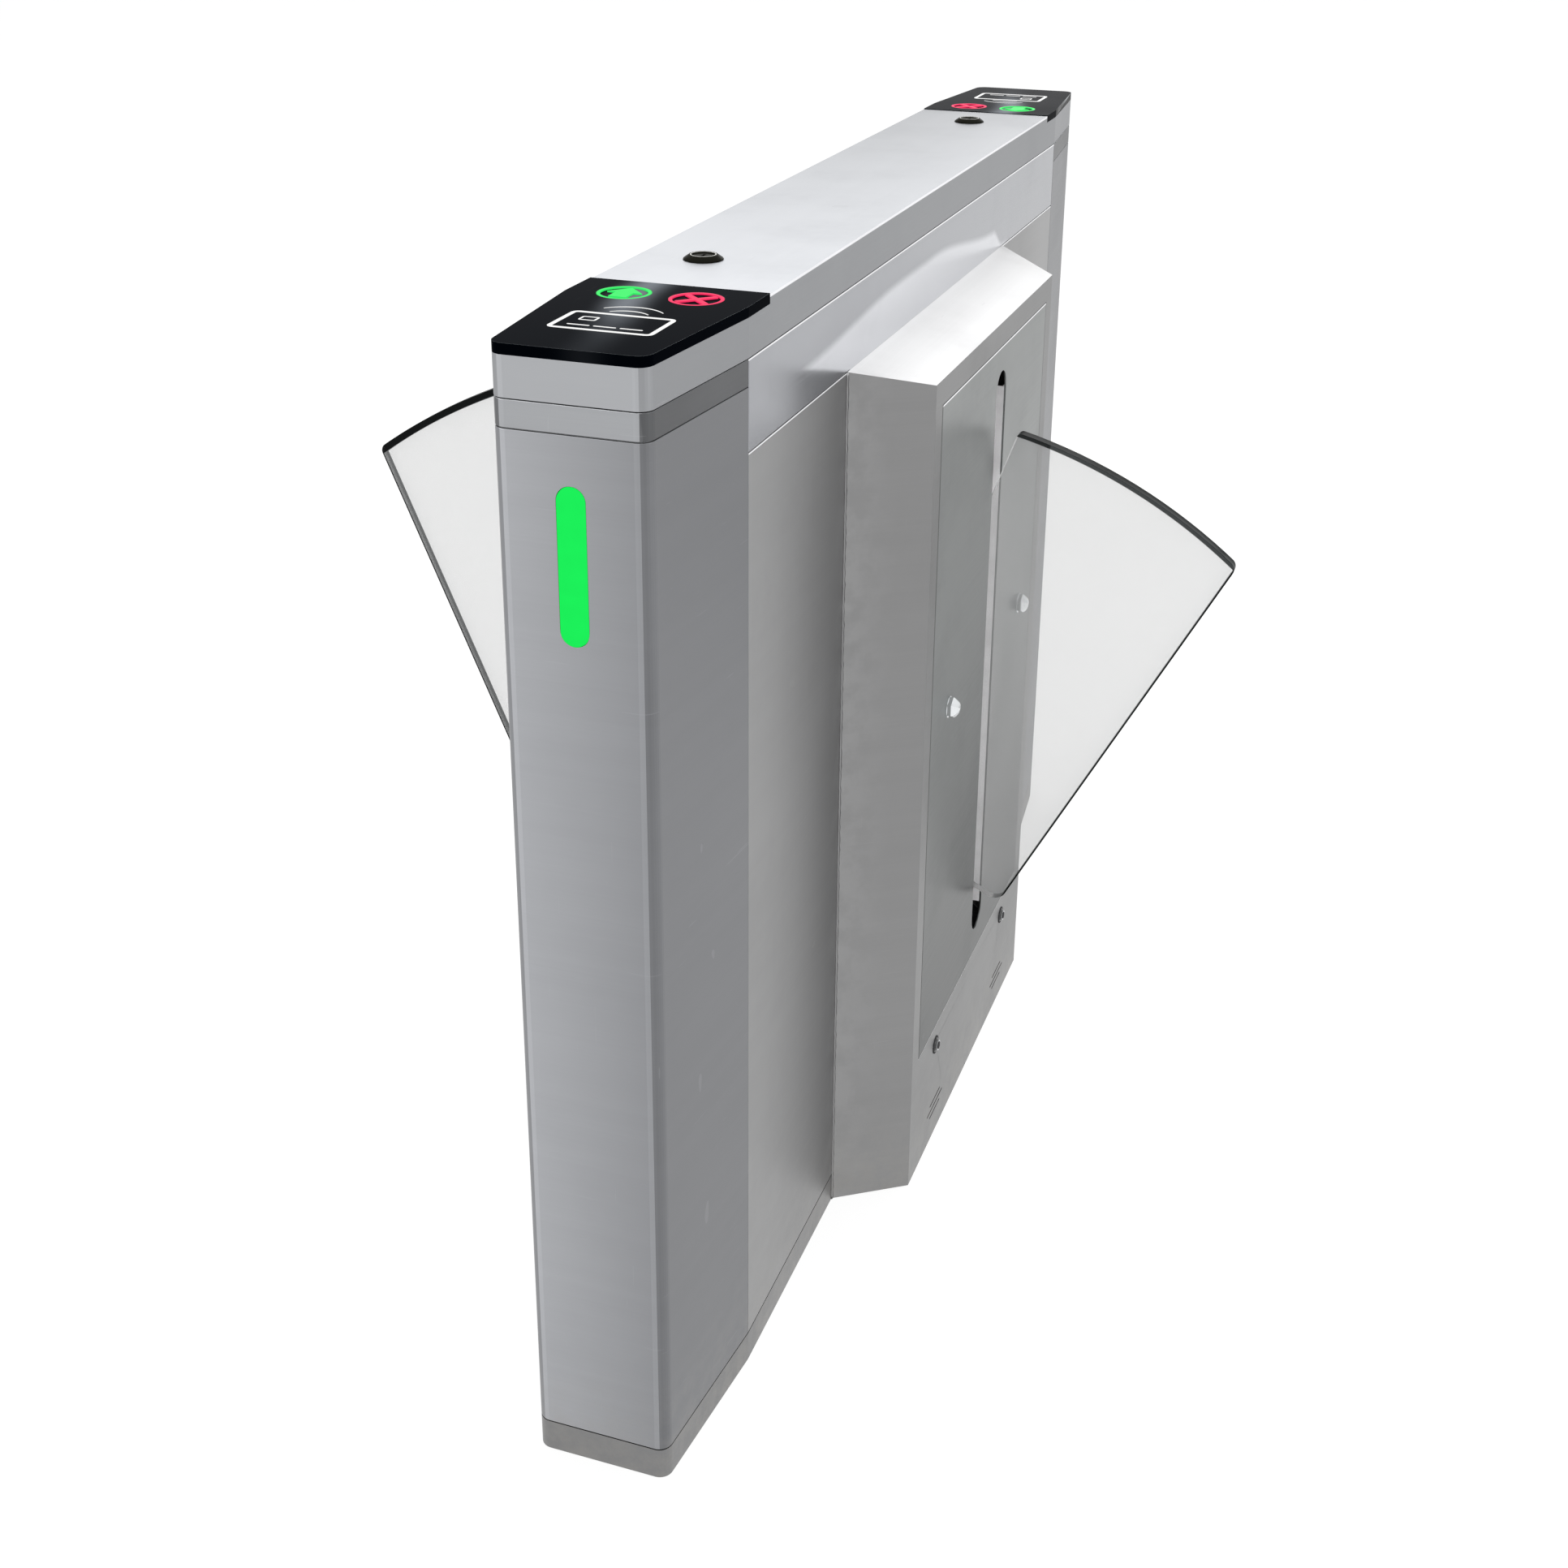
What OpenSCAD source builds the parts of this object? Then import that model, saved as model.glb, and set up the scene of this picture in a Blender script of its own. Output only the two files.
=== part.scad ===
// Flap barrier turnstile: a floor cabinet for the middle of two lanes, with one clear flap on each side.
// The front end is at -Y, the right flap swings out to +X, and Z is up.
// The origin is on the floor, in the middle of the cabinet.

/* [Cabinet] */
// Length of the cabinet along the lanes
cabinet_l = 1400; // [1340:10:1500]
// Width of the cabinet between its flat sides
cabinet_w = 152; // [148:2:160]
// Height of the lid's top
cabinet_h = 1000; // [990:2:1030]
// Width of the cabinet at its narrow ends
end_w = 122; // [112:2:130]
// Length of each tapered end
taper_l = 163; // [150:1:176]
// Radius of the upright corners at the ends
corner_r = 12; // [9:1:15]
// Thickness of the sheet metal
sheet = 2; // [1.5:0.1:2.4]
// Open seam between neighbouring sheet-metal pieces
seam = 0.8; // [0.6:0.1:0.9]
// Height of the plinth
plinth_h = 30; // [26:1:34]
// Height of the lid
lid_h = 39; // [37:1:43]
// Height of the band below the lid at each end
neck_h = 22; // [18:1:26]
// Height of the rail below the lid along each side
rail_h = 75; // [70:1:80]

/* [Flap housings] */
// How far each housing stands out from the cabinet's side
housing_out = 69; // [66:1:72]
// Length of a housing where it meets the cabinet
housing_back_l = 572; // [560:2:590]
// Length of a housing's flat face
housing_face_l = 476; // [466:2:486]
// How much lower the housing's top is at its face
housing_fall = 18; // [14:1:24]
// Strip of housing face beside the slot plate
plate_side_strip = 24; // [18:1:30]
// Strip of housing face above the slot plate
plate_top_strip = 25; // [20:1:28]
// Height of the slot plate's lower edge
plate_foot_z = 140; // [130:2:150]
// Width of the flap slots
slot_w = 40; // [36:1:42]
// Height of the slots' lower ends
slot_foot_z = 170; // [162:2:180]
// Strip of slot plate above the right slot
right_slot_strip = 27; // [23:1:43]
// Strip of slot plate above the left slot, whose flap is longer
left_slot_strip = 13; // [11:1:17]

/* [Flaps] */
// Thickness of the clear flaps
flap_t = 12; // [10:1:13]
// Distance of each flap's middle plane from the cabinet's middle
flap_y = 18; // [17:0.5:19]
// Distance of each flap shaft from the cabinet's middle
pivot_x = 104; // [102:1:105]
// Height of the flap shafts
pivot_z = 100; // [98:1:104]
// Swing of the right flap from across the lane to inside the housing, in degrees
right_swing = 26; // [25:0.5:26.5]
// Swing of the left flap, in degrees
left_swing = 44; // [43.5:0.5:44.5]
// How far the right flap's tip stands out from its shaft
right_tip_out = 292; // [284:1:294]
// How far the right flap's tip lies below its top corner
right_tip_drop = 117; // [110:1:124]
// How far the left flap's tip stands out from its shaft
left_tip_out = 450; // [444:1:453]
// How far the left flap's tip lies below its top corner
left_tip_drop = 84; // [80:1:92]

/* [Drive] */
// Diameter of the flap shafts
shaft_d = 20; // [18:1:22]
// Outside diameter of the shaft bearings
bearing_d = 42; // [40:1:46]
// Width of the shaft bearings, which is also the thickness of the plates that hold them
bearing_w = 12; // [10:1:14]
// Length of the levers and cranks from centre to pin
crank_l = 40; // [38:1:42]
// Diameter of the link pins
link_pin_d = 10; // [9:0.5:11]
// Distance of the gear motors' shafts from the cabinet's middle
motor_x = 24; // [20:1:26]
// Height of the gear motors' shafts
motor_z = 290; // [280:2:310]
// Diameter of the motors
motor_d = 64; // [60:1:68]
// Length of the motors behind their gearboxes
motor_l = 116; // [100:2:126]

/* [Lid] */
// Thickness of the black reader panels
panel_t = 8.5; // [7:0.5:9]
// Length of the reader panels
panel_l = 211; // [205:1:217]
// Outside diameter of the go and stop symbols
symbol_d = 43; // [40:1:44]
// Diameter of the lid locks
lock_d = 34; // [30:1:36]
// Height of the lid locks above the lid
lock_h = 4.5; // [3:0.5:6.5]
// Height of the status light slots
light_h = 124; // [110:2:130]
// Width of the status light slots
light_w = 23; // [20:1:25]

/* [Hidden] */
$fn = 64;

// One overrun for every cut
over = 1;
// Clearance where a piece seats on a moving body
play = 0.3;
// Radial clearance of running fits
run = 0.03;
// Angles: half a turn, a quarter turn and a full turn
half_turn = 180;
quarter = 90;
turn = 360;
// Steps in the arc of a rounded corner
corner_steps = 8;
// Share of a straight edge that one rounded corner may take
fillet_share = 0.95;
// Signs of the two ends or sides
ends = [-1, 1];

// Levels of the cabinet, from the floor up
panel_proud = 1;
panel_top = cabinet_h + panel_proud;
panel_z = panel_top - panel_t;
lid_z = cabinet_h - lid_h;
neck_z = lid_z - neck_h;
rail_z = lid_z - rail_h;
half_w = cabinet_w / 2;
half_l = cabinet_l / 2;
half_end = end_w / 2;
bend_y = half_l - taper_l;
// Outward normal of the tapered side at the rear right
taper_normal = [taper_l, half_w - half_end] / norm([taper_l, half_w - half_end]);

// Housing, seen from above and from the front
housing_x = half_w + housing_out;
housing_top = rail_z - housing_fall;
housing_lap = 8;
plate_half = housing_face_l / 2 - plate_side_strip;
plate_top = housing_top - plate_top_strip;
plate_ledge = 8;
right_slot_h = plate_top - right_slot_strip - slot_foot_z;
left_slot_h = plate_top - left_slot_strip - slot_foot_z;
// Vent slits in the foot of a housing
vent_l = 60;
vent_short_l = 40;
vent_h = 1.6;
vent_pitch = 7.4;
vent_in = 76;
vent_y = plate_half - vent_in;
vent_z = 28.8;
vent_rows = 3;

// Slot guides
guide_t = 2;
guide_depth = 28;
guide_flange = 11;
guide_short = 22;

// Fasteners on the housing face
cap_nut_in = 64;
cap_nut_y = plate_half - cap_nut_in;
cap_nut_share = 8 / 15;
cap_nut_z = plate_foot_z + (plate_top - plate_foot_z) * cap_nut_share;
cap_nut_d = 19;
cap_nut_h = 7;
cap_collar_h = 4;
cap_washer_d = 22;
cap_washer_t = 1.4;
ankle_in = 69;
ankle_y = plate_half - ankle_in;
ankle_drop = 24;
ankle_z = plate_foot_z - ankle_drop;
ankle_d = 17;
ankle_h = 4;
stud_d = 8;
stud_l = 9;

// Floor pan and its openings
pan_t = 3;
anchor_d = 14;
anchor_x = 42;
anchor_in = 140;
anchor_y = half_l - anchor_in;
cable_d = 50;
cable_from_anchor = 130;
cable_y = anchor_y - cable_from_anchor;
grommet_lip = 4;
grommet_t = 3;
grommet_bore = 30;
collar_h = 16;

// Inner frame
post_w = 20;
frame_t = 2;
band_lap = 14;
rest_drop = 5;
seam_backing = 40;
strip_w = 40;
edge_strip = 22;
bar_w = 18;
low_bar_z = 300;
high_bar_z = 780;
rest_in = 370;
rest_y = half_l - rest_in;
rest_h = 20;
panel_return = 12;
return_z = 60;
end_post_y = bend_y - seam_backing;
mid_post_y = housing_back_l / 2 + edge_strip;
rest_z = lid_z - rest_drop;

// Status lights
light_drop = 162;
light_z = cabinet_h - light_drop;
lens_t = 4;
lens_proud = 0.6;
lens_rim = 4;
board_gap = 6;
board_t = 1.6;
board_margin = 8;
led_w = 6;
led_t = 3;
led_count = 6;

// Flap outlines, measured outward and upward from the flap shaft
right_arc_r = 558;
right_top_out = 62;
flap_head_gap = 113.5;
right_top_up = housing_top - pivot_z - flap_head_gap;
right_tip_up = right_top_up - right_tip_drop;
right_foot_out = 67;
right_foot_up = 110;
right_heel_in = 83;
left_arc_r = 722;
left_top_out = 301;
left_top_up = right_top_up;
left_tip_up = left_top_up - left_tip_drop;
left_elbow_out = 297;
left_elbow_up = 212;
left_foot_out = 71;
left_foot_up = 100;
left_heel_in = 20;
heel_top = 250;
right_heel_foot = 181;
left_heel_foot = 150;
tip_r = 9;
foot_r = 15;
elbow_r = 34;
top_r = 5;
heel_r = 6;
arc_steps = 16;

// Clamp arm
cheek_t = 3;
hub_d = 52;
hub_side = cheek_t;
arm_h = 246;
arm_in = 18;
arm_out = 24;
arm_block_h = 110;
clamp_bolt_d = 8;
clamp_head_d = 14;
clamp_head_t = 2;
clamp_rows = 3;
clamp_row_z = 172;
clamp_row_pitch = 30;
clamp_col = 11;

// Bearing stands, gear motor, lever and link
stand_foot_t = 8;
base_t = 6;
base_gap = 7;
base_end_gap = 24;
base_half_w = housing_x - base_gap;
base_half_l = housing_face_l / 2 - base_end_gap;
base_window_y = 160;
base_window_half = 20;
first_plate_y = 38;
second_plate_y = 92;
stand_edge = 34;
stand_margin = 8;
stand_shoulder = 60;
shaft_end = 4;
lever_t = 10;
lever_y = 74;
lever_w = 16;
lever_eye_d = 20;
lever_lead = 20;
bar_start_share = 3 / 8;
lever_rest = half_turn + atan2(pivot_x - motor_x, motor_z - pivot_z) - lever_lead;
link_t = 9;
link_w = 16;
link_gap = 0.5;
link_eye_d = 22;
pin_cap_d = 14;
pin_cap_t = 2;
open_pin_gap = 0.4;
crank_shaft_d = 14;
crank_shaft_in = 14;
crank_hub_d = 28;
gearbox_w = 70;
gearbox_l = 50;
gearbox_r = 6;
terminal_w = 34;
terminal_h = 18;
terminal_l = 44;
motor_cap_l = 14;
motor_cap_step = 4;
buffer_d = 16;
buffer_reach = 30;
sensor_w = 24;
sensor_low = 24;
sensor_h = 20;
sensor_t = 12;
sensor_slot = 4;
sensor_roof = 6;
flag_w = 10;
flag_t = 1.6;
flag_up = 34;

// Electrics
tray_t = 2;
pcb_h = 190;
pcb_t = 1.6;
pcb_stand = 8;
pcb_margin = 12;
chip_t = 4;
relay_t = 15;
supply_h = 160;
supply_w = 44;
battery_h = 120;
battery_w = 50;

// Lid
lid_fit = 0.4;
rib_w = 30;
reader_t = 14;
reader_l = 70;
reader_w = 86;
reader_in = 80;
reader_y = half_l - reader_in;
opening_gap = 3;
symbol_x = 30;
symbol_in = 172;
symbol_y = half_l - symbol_in;
symbol_t = 1.2;
ring_w = 3.6;
bar_stroke = 6;
module_board_t = 1.6;
lock_front_x = -18;
lock_front_in = 309;
lock_rear_in = 287;
lock_front_y = half_l - lock_front_in;
lock_rear_y = half_l - lock_rear_in;
lock_rim_h = 1;
lock_face_rim = 1;
lock_barrel_d = 22;
lock_barrel_l = 26;
lock_nut_d = 30;
lock_nut_t = 5;
plug_d = 13;
plug_dish = 1.2;
key_w = 2.4;
key_l = 8;
key_deep = 3;
cam_t = 3;
cam_l = 30;
cam_w = 16;
strike_t = 3;
strike_w = 26;
strike_lip = 12;

// Outline functions

function unit(v) = v / norm(v);
function wrap(a) = a > half_turn ? a - turn : a < -half_turn ? a + turn : a;
function on_arc(c, r, a) = c + r * [cos(a), sin(a)];
function arc_run(c, r, from, to, steps) = [for (i = [0:steps]) on_arc(c, r, from + (to - from) * i / steps)];

// The arc that rounds the corner at c between the points p and q; a short edge limits its radius
function fillet(p, c, q, full_r) =
    full_r <= 0 ? [c] :
    let (
        u = unit(p - c),
        v = unit(q - c),
        half = acos(u * v) / 2,
        r = min(full_r, min(norm(p - c), norm(q - c)) * fillet_share * tan(half)),
        mid = c + unit(u + v) * r / sin(half),
        a = c + u * r / tan(half) - mid,
        b = c + v * r / tan(half) - mid,
        start = atan2(a.y, a.x),
        sweep = wrap(atan2(b.y, b.x) - start)
    ) arc_run(mid, r, start, start + sweep, corner_steps);
function rounded(points, radii) = [
    for (i = [0:len(points) - 1])
        each fillet(points[(i + len(points) - 1) % len(points)], points[i], points[(i + 1) % len(points)], radii[i])
];

// Plan of the cabinet, drawn in by the given inset
function bend_at(inset) = bend_y - inset * (1 - taper_normal.x) / taper_normal.y;
function end_x_at(inset) = half_end - inset * (1 - taper_normal.y) / taper_normal.x;
function plan(inset) =
    let (
        w = half_w - inset,
        e = end_x_at(inset),
        l = half_l - inset,
        b = bend_at(inset),
        r = max(corner_r - inset, sheet)
    ) rounded(
        [[-e, -l], [e, -l], [w, -b], [w, b], [e, l], [-e, l], [-w, b], [-w, -b]],
        [r, r, 0, 0, r, r, 0, 0]
    );

// Plan of the right housing, drawn in by the given inset
function splay_slope() = (housing_back_l - housing_face_l) / 2 / housing_out;
function splay_inset(inset) = inset * norm([1, splay_slope()]);
function housing_plan(inset) =
    let (
        x = housing_x - inset,
        back = housing_back_l / 2 - splay_inset(inset) + (inset > 0 ? over * splay_slope() : 0),
        face = housing_face_l / 2 - splay_inset(inset) + inset * splay_slope(),
        start = inset > 0 ? half_w - over : half_w
    ) [[start, -back], [x, -face], [x, face], [start, back]];

// Side view of the right housing, as x and z, drawn in by the given inset
function housing_side(inset) =
    let (
        drop = housing_fall / housing_out,
        fall = inset * norm([1, drop]),
        start = inset > 0 ? half_w - over : half_w,
        x = housing_x - inset,
        foot = inset > 0 ? -over : 0
    ) [[start, foot], [x, foot], [x, housing_top - fall + inset * drop], [start, rail_z - fall + (half_w - start) * drop]];

// Shared shapes

module block(low, high) {
    translate(low) cube(high - low);
}

// A solid of the cabinet's plan between two heights
module slab(inset, low, high) {
    translate([0, 0, low]) linear_extrude(high - low) polygon(plan(inset));
}

// A ring of the cabinet's plan
module skin(inset, wall, low, high) {
    difference() {
        slab(inset, low, high);
        slab(inset + wall, low - over, high + over);
    }
}

// The part of the children beyond the bend at the front end
module front_end(y) {
    intersection() {
        children();
        block([-cabinet_w, -cabinet_l, -over], [cabinet_w, -y, cabinet_h + cabinet_w]);
    }
}

module opposite() {
    rotate([0, 0, half_turn]) children();
}

module both_ends() {
    children();
    opposite() children();
}

// An upright plate with the given x-z outline, from one y to another
module upright(points, low_y, high_y) {
    translate([0, high_y, 0]) rotate([quarter, 0, 0]) linear_extrude(high_y - low_y) polygon(points);
}

// A cylinder along Y at x and z
module rod_y(x, z, d, low_y, high_y) {
    translate([x, high_y, z]) rotate([quarter, 0, 0]) cylinder(d = d, h = high_y - low_y);
}

// A cylinder along X at y and z
module rod_x(y, z, d, low_x, high_x) {
    translate([low_x, y, z]) rotate([0, quarter, 0]) cylinder(d = d, h = high_x - low_x);
}

// An upright slot with round ends that runs through along X
module pill_x(y, low_z, high_z, w, low_x, high_x) {
    rod_x(y, low_z + w / 2, w, low_x, high_x);
    rod_x(y, high_z - w / 2, w, low_x, high_x);
    block([low_x, y - w / 2, low_z + w / 2], [high_x, y + w / 2, high_z - w / 2]);
}

// An upright slot with round ends that runs through along Y
module pill_y(low_z, high_z, w, low_y, high_y) {
    rod_y(0, low_z + w / 2, w, low_y, high_y);
    rod_y(0, high_z - w / 2, w, low_y, high_y);
    block([-w / 2, low_y, low_z + w / 2], [w / 2, high_y, high_z - w / 2]);
}

// Cabinet

module plinth_frame() color("#8f9193") {
    difference() {
        union() {
            skin(0, sheet, 0, plinth_h);
            slab(sheet / 2, 0, pan_t);
        }
        for (x = ends, y = ends)
            translate([x * anchor_x, y * anchor_y, -over]) cylinder(d = anchor_d, h = pan_t + 2 * over);
        for (y = ends)
            translate([0, y * cable_y, -over]) cylinder(d = cable_d, h = pan_t + 2 * over);
    }
    both_ends() front_end(end_post_y + post_w / 2 + play)
        skin(sheet, sheet, plinth_h - collar_h, plinth_h + collar_h);
}

module cable_grommets() color("#1c1c1e") {
    for (y = ends) translate([0, y * cable_y, 0]) difference() {
        union() {
            cylinder(d = cable_d, h = pan_t);
            translate([0, 0, pan_t]) cylinder(d = cable_d + 2 * grommet_lip, h = grommet_t);
        }
        translate([0, 0, -over]) cylinder(d = grommet_bore, h = pan_t + grommet_t + 2 * over);
    }
}

// The welded frame that the outer sheets close on
module inner_frame() color("#9a9da0") {
    skin(sheet, frame_t, neck_z - band_lap, rest_z);
    both_ends() intersection() {
        skin(sheet, frame_t, plinth_h + collar_h, neck_z);
        union() {
            block([-cabinet_w, -bend_y - strip_w / 2, 0], [cabinet_w, -bend_y + strip_w, cabinet_h]);
            block([-cabinet_w, -mid_post_y, 0], [cabinet_w, -housing_back_l / 2 + housing_lap, cabinet_h]);
        }
    }
    for (x = ends, y = [end_post_y, mid_post_y], side = ends)
        corner_post(x * (half_w - sheet - post_w / 2), side * y);
    for (y = [end_post_y, mid_post_y], side = ends, z = [low_bar_z, high_bar_z])
        block([-half_w + sheet + post_w, side * y - bar_w / 2, z],
            [half_w - sheet - post_w, side * y + bar_w / 2, z + bar_w]);
    for (side = ends)
        block([-half_w + sheet, side * rest_y - bar_w / 2, rest_z - rest_h],
            [half_w - sheet, side * rest_y + bar_w / 2, rest_z]);
}

// A square tube post that stands on the floor pan
module corner_post(x, y) {
    bore = post_w / 2 - frame_t;
    difference() {
        block([x - post_w / 2, y - post_w / 2, pan_t], [x + post_w / 2, y + post_w / 2, neck_z]);
        block([x - bore, y - bore, pan_t - over], [x + bore, y + bore, neck_z + over]);
    }
}

module pillar() {
    difference() {
        front_end(bend_y + seam / 2) skin(0, sheet, plinth_h + seam, neck_z - seam);
        pill_y(light_z - light_h / 2, light_z + light_h / 2, light_w, -half_l - over, -half_l + sheet + over);
    }
}
module front_pillar() color("#a3a5a7") pillar();
module rear_pillar() color("#a3a5a7") opposite() pillar();

module neck_band() {
    front_end(bend_y + seam / 2) skin(0, sheet, neck_z, lid_z - seam);
}
module front_neck_band() color("#a9abad") neck_band();
module rear_neck_band() color("#a9abad") opposite() neck_band();

// The rail on the right side, with the lap that the housing's top closes on
module upper_rail() {
    reach = bend_y - seam / 2;
    block([half_w - sheet, -reach, rail_z], [half_w, reach, lid_z - seam]);
    block([half_w - sheet, -housing_back_l / 2 + housing_lap, rail_z - housing_lap],
        [half_w, housing_back_l / 2 - housing_lap, rail_z]);
}
module right_upper_rail() color("#a9abad") upper_rail();
module left_upper_rail() color("#a9abad") opposite() upper_rail();

// The front right side panel, with returned edges at its foot and its head
module side_panel() {
    front = -bend_y + seam / 2;
    back = -housing_back_l / 2 + housing_lap;
    low = plinth_h + seam;
    high = rail_z - seam;
    block([half_w - sheet, front, low], [half_w, back, high]);
    for (z = [return_z, high - sheet])
        block([half_w - sheet - panel_return, -end_post_y + post_w, z],
            [half_w - sheet, -mid_post_y - post_w, z + sheet]);
}
module front_right_side_panel() color("#9fa1a3") side_panel();
module front_left_side_panel() color("#9fa1a3") mirror([1, 0, 0]) side_panel();
module rear_right_side_panel() color("#9fa1a3") mirror([0, 1, 0]) side_panel();
module rear_left_side_panel() color("#9fa1a3") opposite() side_panel();

// Flap housings

module housing_solid(inset) {
    low = inset > 0 ? -over : 0;
    intersection() {
        translate([0, 0, low]) linear_extrude(cabinet_h) polygon(housing_plan(inset));
        upright(housing_side(inset), -cabinet_l, cabinet_l);
    }
}

module housing() {
    difference() {
        housing_solid(0);
        housing_solid(sheet);
        block([housing_x - sheet - over, -plate_half, plate_foot_z], [housing_x + over, plate_half, plate_top]);
        for (side = ends, row = [0:vent_rows - 1])
            vent_slit(side, row);
        for (side = ends)
            rod_x(side * ankle_y, ankle_z, stud_d, housing_x - sheet - over, housing_x + over);
    }
    plate_ledge_frame();
}

// One slit of a group, whose middle slit is the longest
module vent_slit(side, row) {
    half = (row > 0 && row < vent_rows - 1 ? vent_l : vent_short_l) / 2;
    y = side * vent_y;
    z = vent_z + row * vent_pitch;
    block([housing_x - sheet - over, y - half, z], [housing_x + over, y + half, z + vent_h]);
}

// The ledge behind the opening, which the slot plate is screwed to
module plate_ledge_frame() {
    outer = plate_half + plate_ledge;
    inner = plate_half - plate_ledge;
    difference() {
        block([housing_x - 2 * sheet, -outer, plate_foot_z - plate_ledge],
            [housing_x - sheet, outer, plate_top + plate_ledge]);
        block([housing_x - 2 * sheet - over, -inner, plate_foot_z + plate_ledge],
            [housing_x - sheet + over, inner, plate_top - plate_ledge]);
    }
}
module right_flap_housing() color("#a0a2a4") housing();
module left_flap_housing() color("#a0a2a4") opposite() housing();

module slot_plate(slot_h) {
    difference() {
        block([housing_x - sheet, -plate_half + seam, plate_foot_z + seam],
            [housing_x, plate_half - seam, plate_top - seam]);
        pill_x(flap_y, slot_foot_z, slot_foot_z + slot_h, slot_w, housing_x - sheet - over, housing_x + over);
        for (side = ends)
            rod_x(side * cap_nut_y, cap_nut_z, stud_d, housing_x - sheet - over, housing_x + over);
    }
}
module right_slot_plate() color("#868987") slot_plate(right_slot_h);
module left_slot_plate() color("#868987") opposite() slot_plate(left_slot_h);

// Two angle strips behind the edges of a slot
module guide_pair(slot_h) {
    x = housing_x - sheet;
    low = slot_foot_z + guide_short;
    high = slot_foot_z + slot_h - guide_short;
    for (side = ends) {
        web = flap_y + side * (slot_w / 2 + guide_t / 2);
        edge = flap_y + side * (slot_w / 2 + guide_flange);
        block([x - guide_depth, web - guide_t / 2, low], [x, web + guide_t / 2, high]);
        block([x - guide_t, min(web, edge), low], [x, max(web, edge), high]);
    }
}
module slot_guides() color("#d4d6d8") {
    guide_pair(right_slot_h);
    opposite() guide_pair(left_slot_h);
}

// Dome of a cap nut or a screw on the housing's face
module dome_x(y, z, d, h) {
    r = (d * d / 4 + h * h) / (2 * h);
    translate([housing_x, y, z]) rotate([0, quarter, 0])
        rotate_extrude() intersection() {
            translate([0, h - r]) circle(r = r);
            square([d / 2, h]);
        }
}

module waist_cap_nuts() color("#e2e4e6") {
    collar_x = cap_washer_t + cap_collar_h;
    both_ends() for (side = ends) {
        translate([collar_x, 0, 0]) dome_x(side * cap_nut_y, cap_nut_z, cap_nut_d, cap_nut_h);
        rod_x(side * cap_nut_y, cap_nut_z, cap_nut_d, housing_x, housing_x + collar_x);
        rod_x(side * cap_nut_y, cap_nut_z, cap_washer_d, housing_x, housing_x + cap_washer_t);
        rod_x(side * cap_nut_y, cap_nut_z, stud_d - 2 * play, housing_x - stud_l, housing_x + cap_washer_t);
    }
}

module ankle_screws() color("#4a4a4d") {
    both_ends() for (side = ends) {
        dome_x(side * ankle_y, ankle_z, ankle_d, ankle_h);
        rod_x(side * ankle_y, ankle_z, stud_d - 2 * play, housing_x - stud_l, housing_x + sheet / 2);
    }
}

// Status lights

module status_lens() {
    pill_y(light_z - light_h / 2 + play, light_z + light_h / 2 - play, light_w - 2 * play,
        -half_l - lens_proud, -half_l + sheet);
    pill_y(light_z - light_h / 2 - lens_rim, light_z + light_h / 2 + lens_rim, light_w + 2 * lens_rim,
        -half_l + sheet, -half_l + sheet + lens_t);
}
module front_status_lens() color("#1cf55c") status_lens();
module rear_status_lens() color("#1cf55c") opposite() status_lens();

module status_light_boards() color("#1f5f3a") {
    back = -half_l + sheet + lens_t + board_gap;
    half_board = light_h / 2 + board_margin;
    both_ends() {
        block([-light_w / 2 - board_margin, back, light_z - half_board],
            [light_w / 2 + board_margin, back + board_t, light_z + half_board]);
        for (side = ends)
            rod_y(0, light_z + side * (half_board - board_margin / 2), board_margin / 2, back - board_gap, back);
        for (i = [0:led_count - 1])
            translate([-led_w / 2, back - led_t, light_z - light_h / 2 + light_h * (i + 1 / 2) / led_count - led_w / 2])
                cube([led_w, led_t, led_w]);
    }
}

// Flap drive: everything here is drawn for the right side

module mechanism_base() color("#7d8084") {
    difference() {
        block([-base_half_w, -base_half_l, plinth_h], [base_half_w, base_half_l, plinth_h + base_t]);
        for (side = ends)
            block([-half_w + 2 * post_w, side * base_window_y - base_window_half, plinth_h - over],
                [half_w - 2 * post_w, side * base_window_y + base_window_half, plinth_h + base_t + over]);
    }
}

stand_z = plinth_h + base_t;

module bearing_bore(y) {
    rod_y(pivot_x, pivot_z, bearing_d + 2 * run, y - over, y + bearing_w + over);
}

module bearing_stand() {
    gear_half = gearbox_w / 2 + stand_margin;
    gear_left = motor_x - gear_half;
    gear_right = motor_x + gear_half;
    shoulder = pivot_z + stand_edge;
    difference() {
        union() {
            upright([
                [pivot_x - stand_edge, stand_z], [pivot_x + stand_edge, stand_z],
                [pivot_x + stand_edge, shoulder], [pivot_x - stand_edge, shoulder]
            ], first_plate_y, first_plate_y + bearing_w);
            upright([
                [gear_left, stand_z], [pivot_x + stand_edge, stand_z], [pivot_x + stand_edge, shoulder],
                [gear_right, shoulder + stand_shoulder], [gear_right, motor_z + gear_half],
                [gear_left, motor_z + gear_half]
            ], second_plate_y, second_plate_y + bearing_w);
            block([pivot_x - stand_edge, first_plate_y, stand_z],
                [pivot_x + stand_edge, second_plate_y + bearing_w, stand_z + stand_foot_t]);
        }
        bearing_bore(first_plate_y);
        bearing_bore(second_plate_y);
        rod_y(motor_x, motor_z, crank_hub_d, second_plate_y - over, second_plate_y + bearing_w + over);
    }
}
module right_bearing_stand() color("#6f7377") bearing_stand();
module left_bearing_stand() color("#6f7377") opposite() bearing_stand();

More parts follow.
